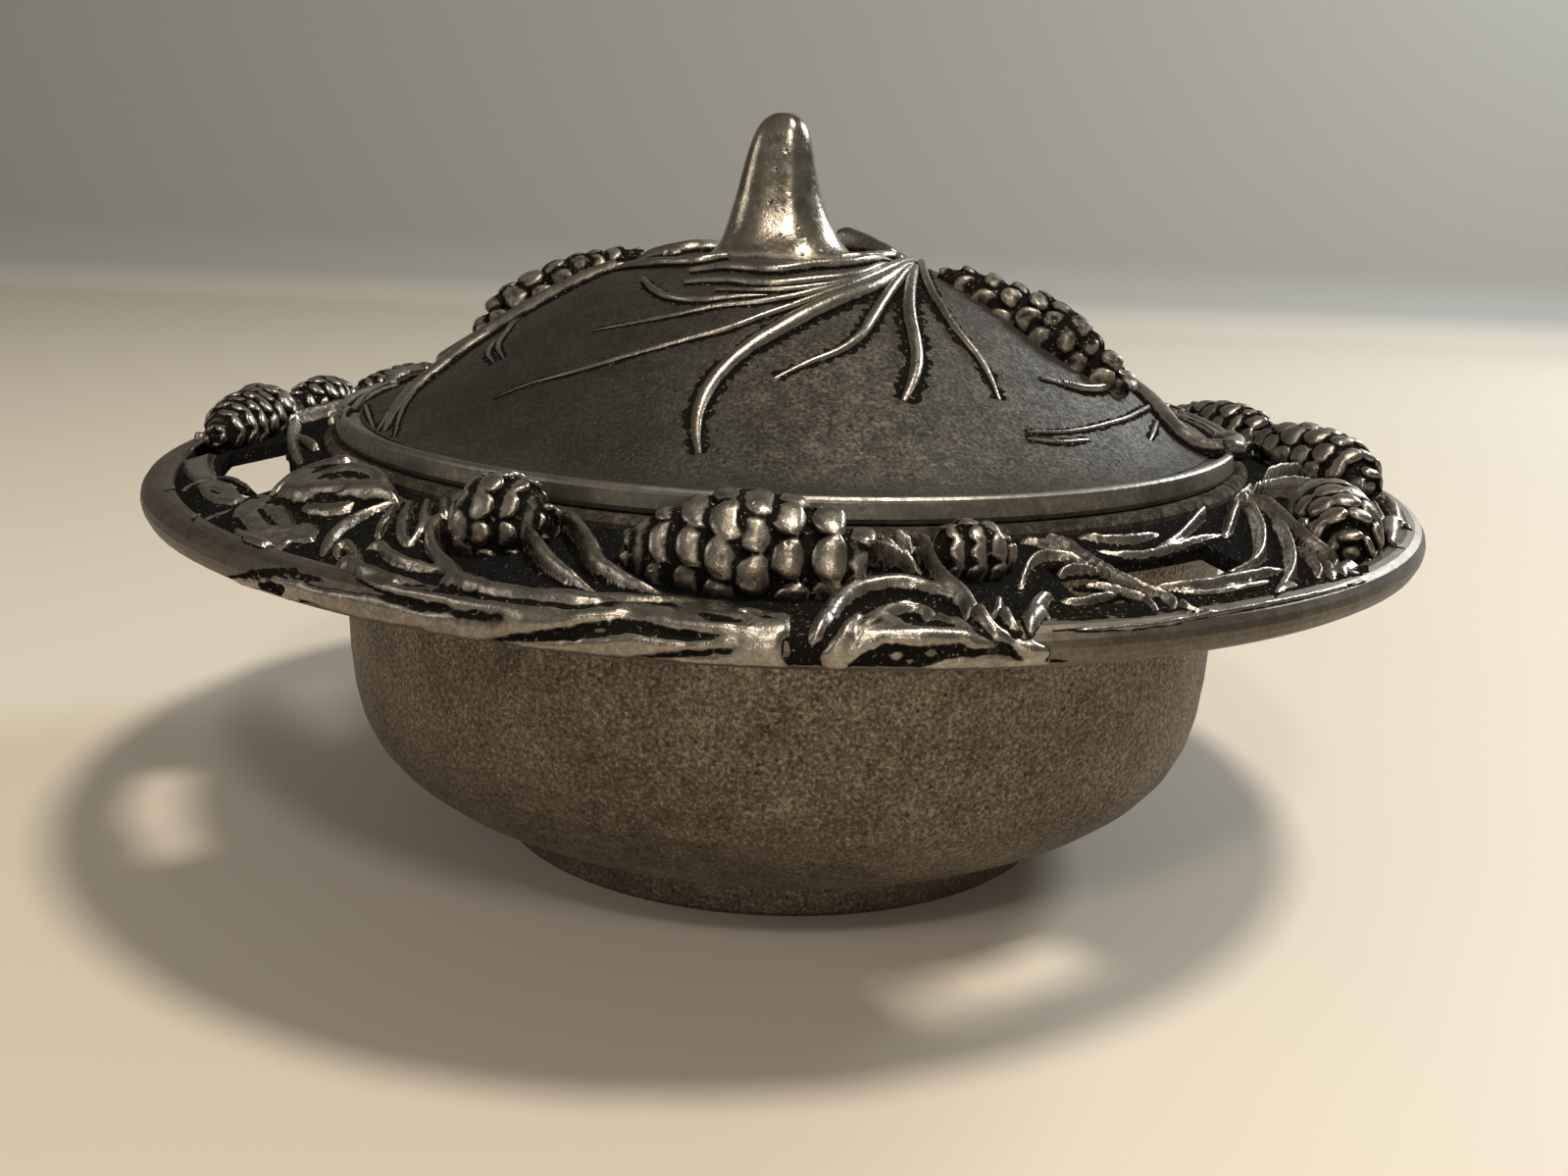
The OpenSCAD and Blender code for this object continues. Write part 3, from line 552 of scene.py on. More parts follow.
# bands: half widths and tops in millimetres at start, middle and end, then the pixels
left_bands = [
    # thin edges and loops of the leaves at the far left
    ((0.3, 0.4, 0.3), (0.5, 0.6, 0.5), [(160, 503), (180, 496), (200, 490), (222, 489), (240, 494),
        (258, 499)]),
    ((0.3, 0.4, 0.3), (0.6, 0.7, 0.6), [(206, 486), (226, 483), (244, 488), (258, 498)]),
    ((0.3, 0.4, 0.3), (0.5, 0.7, 0.6), [(194, 531), (212, 525), (230, 518), (246, 511)]),
    ((0.4, 0.5, 0.4), (0.7, 0.8, 0.7), [(262, 500), (268, 504), (280, 508), (292, 511)]),
    # bump of curled petals, one over another
    ((1.2, 2.2, 1.6), (2.0, 4.2, 3.8), [(272, 494), (296, 478), (328, 464), (362, 463), (394, 482)]),
    ((1.1, 2.0, 1.5), (1.8, 4.0, 3.4), [(284, 501), (306, 485), (336, 473), (368, 474), (398, 489)]),
    ((1.0, 1.6, 1.3), (1.6, 3.0, 2.6), [(302, 503), (326, 491), (352, 484), (378, 487), (402, 496)]),
    ((0.7, 1.0, 0.8), (1.4, 2.2, 1.8), [(326, 503), (345, 496), (366, 493), (386, 497)]),
    # leaf under the bump, and the line that parts them
    ((0.4, 0.5, 0.3), (1.6, 1.9, 1.4), [(296, 504), (330, 501), (370, 499), (405, 500)]),
    ((0.4, 0.5, 0.3), (1.5, 1.9, 1.4), [(380, 505), (400, 502), (416, 502)]),
    # fan of leaves
    ((0.5, 1.0, 0.8), (1.2, 1.4, 0.9), [(412, 506), (382, 514), (352, 528), (336, 544), (327, 563)]),
    ((0.5, 0.8, 0.6), (1.2, 1.6, 1.0), [(404, 508), (396, 520), (386, 534), (384, 545)]),
    ((0.7, 1.1, 0.8), (1.4, 2.0, 1.4), [(420, 504), (412, 520), (409, 535), (414, 550)]),
    ((0.7, 1.0, 0.7), (1.6, 2.2, 1.4), [(436, 502), (432, 518), (428, 532), (416, 549)]),
    ((0.7, 1.0, 0.7), (1.6, 2.2, 1.4), [(452, 500), (452, 512), (456, 524)]),
    ((0.7, 0.8, 0.6), (1.2, 1.7, 1.0), [(342, 562), (348, 549), (357, 553), (363, 567), (380, 576),
        (405, 584), (436, 589)]),
    ((0.7, 0.9, 0.6), (1.2, 1.7, 1.0), [(370, 554), (382, 549), (396, 558), (416, 568), (440, 574),
        (458, 581)]),
    ((0.8, 1.2, 1.1), (1.6, 2.2, 1.8), [(464, 504), (446, 520), (438, 538), (444, 556), (460, 572),
        (486, 588), (520, 596), (560, 601), (600, 604), (645, 605)]),
    # bands that run together on the hoop in front
    ((0.9, 0.9, 0.7), (0.8, 1.3, 1.0), [(362, 584), (400, 597), (432, 607), (470, 613), (520, 617),
        (560, 624), (600, 630), (625, 625), (642, 612)]),
    ((1.0, 1.3, 0.9), (1.2, 1.3, 0.9), [(520, 598), (560, 600), (600, 604), (650, 606), (700, 609),
        (745, 616)]),
    ((1.0, 1.3, 0.9), (1.2, 1.2, 0.9), [(500, 632), (550, 630), (600, 628), (634, 618), (646, 606)]),
    ((0.8, 1.0, 0.7), (1.2, 1.1, 0.9), [(646, 620), (680, 632), (720, 637), (760, 640), (798, 642)]),
    # leaves that sweep down across the larger cones
    ((0.9, 1.3, 0.7), (3.4, 3.2, 1.2), [(520, 514), (534, 529), (551, 551), (568, 567), (588, 583),
        (608, 598)]),
    ((0.8, 1.5, 0.8), (3.2, 3.0, 1.2), [(562, 504), (582, 521), (598, 541), (608, 560), (624, 574),
        (648, 588), (682, 601)]),
    ((0.4, 0.5, 0.3), (3.8, 3.8, 3.0), [(576, 517), (598, 539), (617, 557)])]
spray_bands = [
    ((1.0, 1.7, 1.1), (1.2, 2.2, 0.7), [(826, 657), (835, 636), (850, 612), (868, 595), (895, 587),
        (925, 587), (955, 596), (985, 613), (1010, 636), (1032, 660)]),
    ((1.0, 1.5, 1.0), (1.0, 1.9, 0.6), [(838, 681), (848, 660), (862, 639), (882, 621), (910, 611),
        (940, 613), (965, 623), (990, 638), (1016, 657)]),
    ((0.7, 1.2, 0.9), (0.8, 1.3, 0.6), [(864, 682), (874, 664), (892, 650), (920, 643), (950, 642),
        (980, 646), (1004, 655), (1028, 665)]),
    ((0.6, 0.8, 0.6), (0.8, 1.1, 0.6), [(878, 660), (882, 646), (892, 638)]),
    ((0.9, 1.1, 1.0), (3.6, 3.0, 0.9), [(937, 521), (943, 540), (951, 560), (964, 581), (987, 605),
        (1012, 631), (1040, 660)]),
    ((0.8, 0.9, 0.8), (1.6, 1.8, 0.7), [(1018, 600), (1028, 619), (1042, 646)]),
    ((0.9, 1.1, 1.0), (1.6, 2.0, 0.8), [(1074, 597), (1061, 606), (1053, 624), (1053, 646)]),
    ((0.8, 1.2, 0.8), (0.8, 1.0, 0.5), [(1034, 656), (1052, 664), (1072, 670)]),
    ((0.6, 0.9, 0.6), (0.3, 0.5, 0.3), [(906, 669), (914, 668), (922, 667)]),
    ((0.5, 0.7, 0.5), (4.2, 4.0, 2.7), [(866, 540), (892, 547), (918, 558), (946, 576)]),
    ((0.4, 0.5, 0.4), (4.2, 4.2, 3.1), [(870, 525), (893, 537), (916, 550), (942, 567)]),
    ((0.4, 0.5, 0.4), (3.8, 3.8, 2.7), [(884, 521), (905, 528), (925, 539), (938, 550)])]
right_bands = [
    ((0.9, 0.9, 0.7), (2.4, 2.6, 2.2), [(1000, 522), (1019, 523), (1036, 531)]),
    ((0.35, 0.45, 0.4), (2.0, 2.2, 1.1), [(1034, 530), (1060, 533), (1085, 543), (1106, 556), (1125, 568),
        (1145, 580), (1170, 592), (1195, 603), (1216, 611), (1242, 615)]),
    ((0.4, 0.4, 0.3), (1.6, 1.8, 1.8), [(1038, 540), (1060, 545), (1084, 554), (1104, 567)]),
    ((0.5, 0.5, 0.5), (0.55, 0.6, 0.5), [(1070, 640), (1120, 638), (1180, 633), (1230, 624), (1290, 613),
        (1340, 603), (1370, 596), (1402, 588)]),
    ((0.4, 0.55, 0.4), (1.4, 2.0, 1.6), [(1042, 592), (1046, 577), (1055, 563), (1069, 557), (1087, 559),
        (1106, 565), (1124, 570)]),
    ((0.5, 0.5, 0.4), (1.4, 1.6, 1.6), [(1080, 577), (1096, 572), (1124, 573)]),
    ((0.5, 0.5, 0.4), (1.0, 1.3, 0.9), [(1080, 607), (1100, 607), (1120, 603), (1142, 599)]),
    ((0.3, 0.4, 0.3), (1.2, 1.4, 0.6), [(1100, 588), (1130, 590), (1154, 597), (1172, 607), (1188, 618)]),
    ((0.4, 0.5, 0.4), (1.4, 1.8, 1.2), [(1098, 537), (1130, 542), (1157, 543), (1184, 537)]),
    ((0.4, 0.5, 0.4), (1.6, 2.0, 1.6), [(1126, 531), (1150, 523), (1182, 516), (1219, 512)]),
    ((0.4, 0.7, 0.9), (1.4, 2.0, 2.4), [(1176, 555), (1200, 543), (1216, 528), (1232, 511), (1244, 501)]),
    ((0.5, 0.6, 0.5), (0.9, 1.1, 0.9), [(1118, 556), (1150, 560), (1190, 555), (1222, 545), (1248, 540)]),
    ((0.6, 0.8, 0.7), (1.4, 1.7, 1.4), [(1178, 589), (1210, 590), (1250, 585), (1288, 578), (1314, 574)]),
    ((0.4, 0.5, 0.4), (0.9, 1.0, 0.8), [(1192, 598), (1230, 599), (1272, 593), (1306, 587)])]
star_bands = [
    ((0.7, 0.7, 0.6), (2.4, 2.8, 1.4), [(1263, 492), (1262, 481), (1261, 469)]),
    ((0.7, 0.8, 0.5), (2.2, 2.2, 0.7), [(1258, 495), (1262, 506), (1258, 522), (1250, 546)]),
    ((0.7, 0.9, 0.5), (2.4, 2.6, 0.8), [(1272, 500), (1284, 520), (1290, 540), (1286, 558), (1271, 570),
        (1248, 579)]),
    ((0.7, 0.8, 0.5), (2.2, 2.4, 0.6), [(1301, 519), (1314, 538), (1320, 556), (1320, 573), (1312, 590),
        (1301, 606)]),
    ((0.7, 0.9, 0.5), (2.4, 2.8, 0.9), [(1270, 489), (1290, 502), (1312, 520), (1336, 540), (1360, 559),
        (1380, 573), (1394, 581)]),
    ((0.4, 0.6, 0.4), (2.2, 2.4, 0.8), [(1306, 520), (1330, 538), (1356, 556), (1384, 571)]),
    ((0.4, 0.6, 0.4), (1.6, 1.8, 0.6), [(1322, 548), (1343, 567), (1362, 590)]),
    ((0.4, 0.6, 0.4), (1.6, 1.8, 0.6), [(1340, 556), (1358, 572), (1374, 586)]),
    ((0.5, 0.6, 0.4), (3.4, 4.4, 3.6), [(1270, 486), (1290, 475), (1315, 469), (1342, 470), (1362, 479)]),
    ((0.4, 0.6, 0.4), (3.2, 4.2, 3.8), [(1272, 487), (1300, 484), (1335, 484), (1372, 490)]),
    ((0.4, 0.5, 0.4), (2.6, 3.4, 3.1), [(1254, 462), (1268, 446), (1288, 437), (1310, 435)]),
    ((0.4, 0.5, 0.4), (2.6, 3.4, 3.1), [(1262, 464), (1280, 448), (1302, 441), (1322, 440)]),
    ((0.6, 0.9, 0.5), (2.0, 2.6, 0.8), [(1399, 504), (1410, 525), (1424, 543), (1439, 556)]),
    ((0.5, 0.7, 0.5), (2.0, 2.6, 1.0), [(1409, 501), (1425, 518), (1443, 535)])]
back_bands = [
    ((0.7, 0.8, 0.7), (1.4, 1.5, 1.4), [(200, 452), (225, 440), (255, 428), (285, 418), (302, 412)]),
    ((0.5, 0.7, 0.5), (1.5, 1.7, 1.5), [(214, 447), (240, 437), (264, 431), (284, 424)]),
    ((0.8, 1.0, 0.8), (1.8, 2.0, 1.8), [(303, 462), (296, 444), (298, 428), (312, 415), (332, 405),
        (352, 400)]),
    ((0.7, 0.8, 0.6), (1.5, 1.7, 1.5), [(338, 456), (334, 436), (340, 416)]),
    ((0.7, 0.8, 0.6), (1.5, 1.6, 1.5), [(300, 440), (315, 446), (330, 452)])]
# areas: top and rounding of the edge in millimetres, then the outline's pixels
left_areas = [
    (0.9, 0.8, [(190, 463), (220, 460), (219, 478), (221, 488), (198, 489), (187, 478)]),
    (0.8, 0.6, [(200, 491), (222, 488), (240, 494), (250, 505), (238, 512), (218, 510), (205, 501)]),
    (0.9, 0.8, [(236, 519), (252, 508), (274, 506), (292, 510), (301, 521), (305, 531), (321, 531),
        (326, 539), (320, 549), (296, 551), (266, 554), (246, 547), (238, 534)]),
    (2.9, 2.2, [(276, 499), (292, 484), (322, 469), (354, 465), (380, 474), (402, 492), (408, 500),
        (380, 499), (330, 501), (296, 503)]),
    (1.2, 0.9, [(302, 516), (326, 508), (356, 505), (378, 506), (352, 518), (332, 521), (312, 520)]),
    (0.55, 0.7, [(236, 598), (256, 590), (280, 586), (302, 588), (320, 596), (350, 600), (400, 606),
        (440, 618), (480, 622), (520, 626), (500, 652), (450, 645), (400, 643), (358, 640), (320, 633),
        (285, 622), (255, 611)]),
    (0.8, 1.0, [(430, 618), (470, 620), (520, 620), (560, 612), (600, 603), (650, 603), (700, 605),
        (740, 610), (762, 616), (806, 622), (808, 640), (801, 654), (800, 672), (806, 690), (740, 692),
        (680, 688), (620, 680), (560, 670), (500, 660), (440, 650)]),
    # black grounds on the hoop
    (0.06, 0.05, [(232, 590), (256, 579), (302, 577), (334, 590), (330, 597), (302, 588), (262, 588)]),
    (0.06, 0.05, [(404, 598), (440, 600), (500, 600), (560, 602), (618, 612), (618, 622), (570, 622),
        (520, 612), (470, 610), (430, 614)]),
    (0.06, 0.05, [(806, 612), (838, 604), (846, 640), (832, 690), (800, 690), (803, 650)])]
spray_areas = [
    (0.06, 0.05, [(820, 684), (826, 640), (858, 596), (900, 580), (950, 588), (1000, 620), (1036, 655),
        (1060, 672), (1010, 676), (940, 683), (880, 686)]),
    (0.8, 1.0, [(834, 692), (842, 666), (858, 646), (878, 634), (905, 628), (925, 632), (960, 640),
        (1002, 650), (1010, 658), (990, 650), (955, 649), (915, 652), (888, 655), (872, 661), (864, 680),
        (866, 692)]),
    (0.6, 0.9, [(872, 694), (930, 683), (960, 674), (990, 667), (1014, 662), (1045, 672), (1085, 676),
        (1100, 684), (1060, 694), (1000, 700), (930, 700)])]
right_areas = [
    (0.06, 0.05, [(1075, 634), (1120, 633), (1180, 628), (1230, 618), (1290, 608), (1340, 598), (1398, 584),
        (1398, 574), (1340, 588), (1290, 596), (1230, 604), (1180, 612), (1120, 618), (1075, 620)])]
star_areas = [
    (1.8, 1.3, [(1250, 488), (1262, 482), (1276, 484), (1282, 494), (1272, 503), (1256, 502)])]
# grooves: half widths and depths in millimetres, then the pixels
left_grooves = [
    ((0.3, 0.5, 0.3), (0.9, 0.9, 0.7), [(212, 498), (218, 500), (226, 504)]),
    ((0.4, 0.7, 0.4), (1.0, 1.2, 0.8), [(240, 524), (245, 534), (253, 542)]),
    ((0.4, 0.7, 0.4), (0.9, 1.0, 0.7), [(264, 519), (273, 528), (282, 538)]),
    ((0.3, 0.3, 0.3), (0.6, 0.8, 0.5), [(296, 514), (300, 528), (306, 540)]),
    ((0.3, 0.3, 0.3), (0.5, 0.7, 0.5), [(314, 514), (336, 513), (362, 510)]),
    ((0.4, 0.9, 0.4), (0.8, 0.9, 0.7), [(260, 599), (275, 602), (290, 600)]),
    ((0.3, 0.5, 0.3), (0.7, 0.8, 0.6), [(302, 612), (322, 621), (348, 629)]),
    ((0.3, 0.7, 0.3), (0.8, 1.0, 0.8), [(382, 603), (410, 610), (440, 616), (466, 617)]),
    ((0.3, 0.9, 0.4), (0.8, 1.0, 0.8), [(486, 654), (534, 652), (570, 648), (610, 640), (640, 638),
        (670, 642), (710, 647), (758, 645)]),
    ((0.3, 0.55, 0.3), (0.7, 0.9, 0.6), [(640, 672), (680, 670), (716, 667), (756, 663)]),
    ((0.4, 0.7, 0.5), (0.8, 1.1, 0.8), [(655, 614), (690, 620), (724, 628), (764, 633)]),
    ((0.5, 0.8, 0.4), (0.7, 0.9, 0.7), [(758, 623), (780, 627), (804, 628)])]
spray_grooves = [
    ((0.4, 0.9, 0.35), (1.4, 1.8, 0.8), [(836, 668), (848, 648), (864, 627), (884, 611), (912, 605),
        (940, 607), (965, 618), (990, 632)]),
    ((0.35, 0.65, 0.35), (1.0, 1.2, 0.7), [(866, 648), (880, 632), (898, 622), (922, 618), (950, 622),
        (970, 630), (986, 638)])]


def paint(relief, turns, bands=(), areas=(), grooves=()):
    """paints traced bands, areas and grooves on a relief, at each of some turns"""
    for turn in turns:
        for tall, edge, pixels in areas:
            spots = [turned_by(turn, seen_at(pixel, relief.ground, tall * 0.0009)) for pixel in pixels]
            relief.patch(np.array(spots), tall * 0.001, edge * 0.001)
        for rows, cut in ((bands, False), (grooves, True)):
            for half, tall, pixels in rows:
                half, tall = [value * 0.001 for value in half], [value * 0.001 for value in tall]
                path = seen_line(pixels, relief.ground, [0.0006] * 3 if cut else tall, turn, 0.0004)
                relief.stroke(path, half, tall, cut=cut)


relief_start = np.interp(0.0742, rim_ground.outline[:, 0], rim_ground.along)
rim_relief = Relief(rim_ground, relief_start, cell=0.00026, floor=-0.0003)
paint(rim_relief, (0, -165), bands=left_bands, areas=left_areas, grooves=left_grooves)
paint(rim_relief, (0, 190), bands=spray_bands, areas=spray_areas, grooves=spray_grooves)
paint(rim_relief, (0, -200), bands=right_bands, areas=right_areas)
paint(rim_relief, (0, 90, 160), bands=star_bands, areas=star_areas)
paint(rim_relief, (0, -40), bands=back_bands)
# the raised cells are a little wavy, as cast; their borders get a film where web is near
ripples, ripple_height = ((61, 9), (97, -14), (43, 17), (131, 5)), 0.00010
web_near = 0.0015
around, out = np.arange(rim_relief.rows)[:, None] * rim_relief.step, rim_relief.along[None]
waves = [np.sin(around * 2 * p + out * q * 100 + k) for k, (p, q) in enumerate(ripples)]
raised = rim_relief.height > rim_relief.floor + 0.0003
wavy = rim_relief.height + ripple_height * (sum(waves) / len(ripples))
rim_relief.height = np.where(raised, wavy, rim_relief.height)
for i, j in zip(*np.nonzero(~raised & (rim_relief.blurred(raised * 1.0, 1) > 0.02))):
    above, below = (rim_ground.at(i * rim_relief.step, rim_relief.along[j], lift)
                    for lift in (web_near, -web_near))
    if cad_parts["rim_web"].ray_cast(above, below - above, distance=2 * web_near)[0]:
        rim_relief.height[i, j] = rim_relief.film
rim_relief.height = np.where(raised, rim_relief.blurred(rim_relief.height, 1, 1), rim_relief.height)
rim_branches = rim_relief.skin("rim_branches", 0.0006, 190000)
# wear where a cell stands above those round it, and none below the ground
even_wear, worn_depth = 0.43, 0.0004
stands = rim_relief.height - rim_relief.blurred(rim_relief.height, 5)
clear, off = rim_relief.sample(even_wear + stands / worn_depth, rim_branches)
lifted = np.clip((off - 0.0001) / worn_depth, 0, 1)
set_wear(rim_branches, np.where(off < -worn_depth, 0, clear * lifted))
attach(rim_branches, "bowl")
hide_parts("rim_needles", "rim_strands", "rim_leaves", "rim_knots")
relief_cast = pewter("relief_pewter", (0.205, 0.183, 0.152), (0.375, 0.338, 0.283), (0.008, 0.007, 0.006),
                     grain=0.5, pits=0.3, gloss=0.74, blotch=1.0, bump=0.8, fine=1.5, wear="wear")
coat(rim_branches, relief_cast)


# The pine cones of the rim, cast solid with it: rows of round scales that swell out of
# a spindle, each row set between the scales of the last, half sunk in the web.
def join_up(name, parts):
    """parts joined into one piece"""
    select_only(parts)
    bpy.ops.object.join()
    piece = bpy.context.object
    piece.name = name
    return piece


def fuse(name, parts, faces):
    """parts joined, remeshed into one skin, softened and thinned"""
    piece = join_up(name, parts)
    bpy.ops.object.transform_apply(location=True, rotation=True, scale=True)
    apply_modifier(piece, "REMESH", mode="VOXEL", voxel_size=0.00028, use_smooth_shade=True)
    apply_modifier(piece, "SMOOTH", factor=0.5, iterations=2)
    triangles = len(piece.data.polygons) * 2
    if triangles > faces:
        apply_modifier(piece, "DECIMATE", ratio=faces / triangles)
    bpy.ops.object.shade_smooth()
    return piece


def measured_wear(piece, passes=14, depth=0.0004):
    """wear from how far each point stands out from the piece's own smoothed shape"""
    mesh = piece.data
    count = len(mesh.vertices)
    place, normal = np.empty(count * 3), np.empty(count * 3)
    ends = np.empty(len(mesh.edges) * 2, dtype=np.int64)
    mesh.vertices.foreach_get("co", place)
    mesh.vertices.foreach_get("normal", normal)
    mesh.edges.foreach_get("vertices", ends)
    place, normal, ends = place.reshape(-1, 3), normal.reshape(-1, 3), ends.reshape(-1, 2)
    near = np.bincount(ends.ravel(), minlength=count)[:, None]
    smooth = place.copy()
    for _ in range(passes):
        total = np.stack([np.bincount(ends[:, 0], smooth[ends[:, 1], axis], count)
                          + np.bincount(ends[:, 1], smooth[ends[:, 0], axis], count) for axis in range(3)], 1)
        smooth = 0.5 * smooth + 0.5 * total / near
    return 0.06 + 0.9 * (((place - smooth) * normal).sum(1) / depth)


bpy.ops.object.select_all(action="DESELECT")
bpy.ops.mesh.primitive_ico_sphere_add(subdivisions=2, radius=1.0)
scale_form = bpy.context.object
scale_points = np.array([v.co for v in scale_form.data.vertices])
scale_points /= (np.abs(scale_points) ** 3).sum(1)[:, None] ** (1 / 3)
scale_faces = np.array([p.vertices for p in scale_form.data.polygons])
bpy.ops.object.delete()
# shares of a cone's length from stalk to tip, and of its largest radius there
cone_outline = ((0.0, 0.14, 0.34, 0.56, 0.78, 0.92, 1.0), (0.42, 0.80, 1.0, 0.97, 0.76, 0.50, 0.26))


def pine_cone(stalk, tip, radius, pitch, ground, broad=1.22):
    """scales in offset rows round a spindle from stalk to tip, and the spindle itself"""
    stalk, tip = np.array(stalk), np.array(tip)
    length = np.linalg.norm(tip - stalk)
    axis = (tip - stalk) / length
    over = np.array((0, 0, 1.0)) - axis * axis[2]
    over /= np.linalg.norm(over)
    beside = np.cross(axis, over)
    rows = max(4, round(length / pitch))
    pitch = length / rows
    points, faces = [], []
    for row in range(rows + 1):
        t = (row + 0.15) / (rows + 0.3)
        swell = radius * np.interp(t, *cone_outline)
        tall = pitch * 0.50 * (0.55 + 0.45 * swell / radius)
        around = max(5, round(2 * math.pi * swell / (pitch * broad)))
        wide = math.pi * (swell - tall * 0.5) / around
        for i in range(around):
            uneven = math.sin(7.1 * i + 13.7 * row + 31 * length / radius)
            turn = 2 * math.pi * (i + 0.5 * (row % 2) + 0.16 * uneven) / around
            out = over * math.cos(turn) + beside * math.sin(turn)
            cross = np.cross(axis, out)
            reach = swell - tall * (0.48 + 0.1 * uneven)
            centre = stalk + axis * length * (t + 0.02 * uneven) + out * reach
            if ground.nearest(centre)[2][0] < -tall:
                continue
            lean = axis * (0.45 + 0.12 * uneven) + out
            form = scale_points * (1 + 0.10 * math.sin(11 * i + 5 * row))
            narrow = 1.06 - 0.22 * form[:, :1]
            body = form[:, :1] * tall * 1.04 * axis + form[:, 1:2] * narrow * wide * 1.02 * cross
            faces.append(scale_faces + len(scale_points) * len(points))
            points.append(centre + (body + form[:, 2:] * tall * 0.52 * lean))
    scales = mesh_piece("cone", np.concatenate(points).tolist(), np.concatenate(faces).tolist())
    bpy.ops.object.select_all(action="DESELECT")
    bpy.ops.mesh.primitive_uv_sphere_add(segments=24, ring_count=16, radius=1.0)
    spindle = bpy.context.object
    spindle.scale = (radius - 0.42 * pitch, radius - 0.42 * pitch, length * 0.53)
    spindle.rotation_mode = "QUATERNION"
    spindle.rotation_quaternion = Vector(axis).to_track_quat("Z", "Y")
    spindle.location = (stalk + tip) / 2
    return [scales, spindle]


web_in, web_out = 0.0738, 0.0954
cone_radius = 0.0080


def rim_spot(bearing, share, lift):
    """a point over the rim at a bearing in degrees, a share of the way from ledge to hoop"""
    start = np.interp(web_in, rim_ground.outline[:, 0], rim_ground.along)
    along = start + (web_out - web_in) * 1.03 * share
    return rim_ground.at(np.radians(bearing), along, lift)


# bearing and share of the tip, bearing and share of the stalk, size, lift and length of a
# scale in millimetres
rim_cones = [(257.5, 0.40, 276.5, 0.40, 1.0, 1.9, 3.9), (248.8, 0.22, 240.4, 0.30, 0.80, 2.0, 3.7),
             (282.5, 0.32, 289.4, 0.30, 0.54, 1.8, 3.0), (338, 0.47, 324, 0.90, 0.78, 1.8, 3.6),
             (9, 0.42, -6, 1.0, 0.82, 3.0, 3.5), (33, 0.70, 16, 0.84, 0.72, 2.8, 3.2),
             (187, 0.80, 170.5, 0.72, 0.72, 3.0, 3.0), (168, 0.75, 156, 0.78, 0.58, 2.8, 2.6),
             (155, 0.75, 141, 0.68, 0.58, 2.8, 2.6), (63, 0.42, 45, 0.45, 0.75, 2.4, 3.2),
             (84, 0.40, 107, 0.40, 0.88, 2.4, 3.6), (137, 0.46, 122, 0.46, 0.7, 2.4, 3.0)]
cone_parts = []
for tip_at, tip_share, stalk_at, stalk_share, size, lift, scale in rim_cones:
    cone_parts += pine_cone(rim_spot(stalk_at, stalk_share, lift * 0.001),
                            rim_spot(tip_at, tip_share, lift * 0.001), cone_radius * size, scale * 0.001,
                            rim_ground, broad=1.4 if size > 0.95 else 1.22)
rim_pine_cones = fuse("rim_pine_cones", cone_parts, 180000)
set_wear(rim_pine_cones, measured_wear(rim_pine_cones))
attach(rim_pine_cones, "bowl")
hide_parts("rim_cones")
coat(rim_pine_cones, relief_cast)


# The lid is one casting too. Its dome, edge band and the ring below it are as packed:
# a dark satin panel, blotched and pitted, inside a bright rubbed bead.
lid_ground = turned_top(("lid_dome", "lid_band"), math.radians(200))
panel_cast = pewter("panel_pewter", (0.045, 0.0405, 0.0325), (0.095, 0.086, 0.070), (0.010, 0.009, 0.008),
                    grain=1.0, pits=0.7, gloss=0.50, blotch=1.0, bump=0.7, fine=1.5, wear=0.46,
                    patina_gloss=0.4)
band_cast = pewter("band_pewter", (0.17, 0.158, 0.135), (0.32, 0.30, 0.26), (0.02, 0.02, 0.02),
                   grain=0.5, pits=0.2, gloss=0.60, blotch=0.8, bump=0.30)
finish_node("lid_dome", panel_cast)
finish_node("lid_band", band_cast)
finish_node("lid_spigot", sand_cast)


# The needles of the lid: long low ridges that spring from the finial's root and from a
# knot beside it, polished on top, with black patina left ragged along both sides.
# Across a needle: share of the half width, where 2 is the patina's edge, share of the
# height, where -1 is sunk, and wear.
needle_profile = ((-2, -1, 0.0), (-2, 0, 0.0), (-1.05, 0.02, 0.0), (-0.92, 0.38, 0.3),
                  (-0.66, 0.76, 0.75), (-0.3, 0.96, 0.95), (0.0, 1.0, 1.0), (0.3, 0.96, 0.95),
                  (0.66, 0.76, 0.75), (0.92, 0.38, 0.3), (1.05, 0.02, 0.0), (2, 0, 0.0), (2, -1, 0.0))
# shares of a needle's height at its start and tip, and metres in which the patina beside
# it stands on the dome and its foot reaches down
needle_tips = 0.8, 0.12
patina_lift, needle_sunk = 0.00004, 0.0006


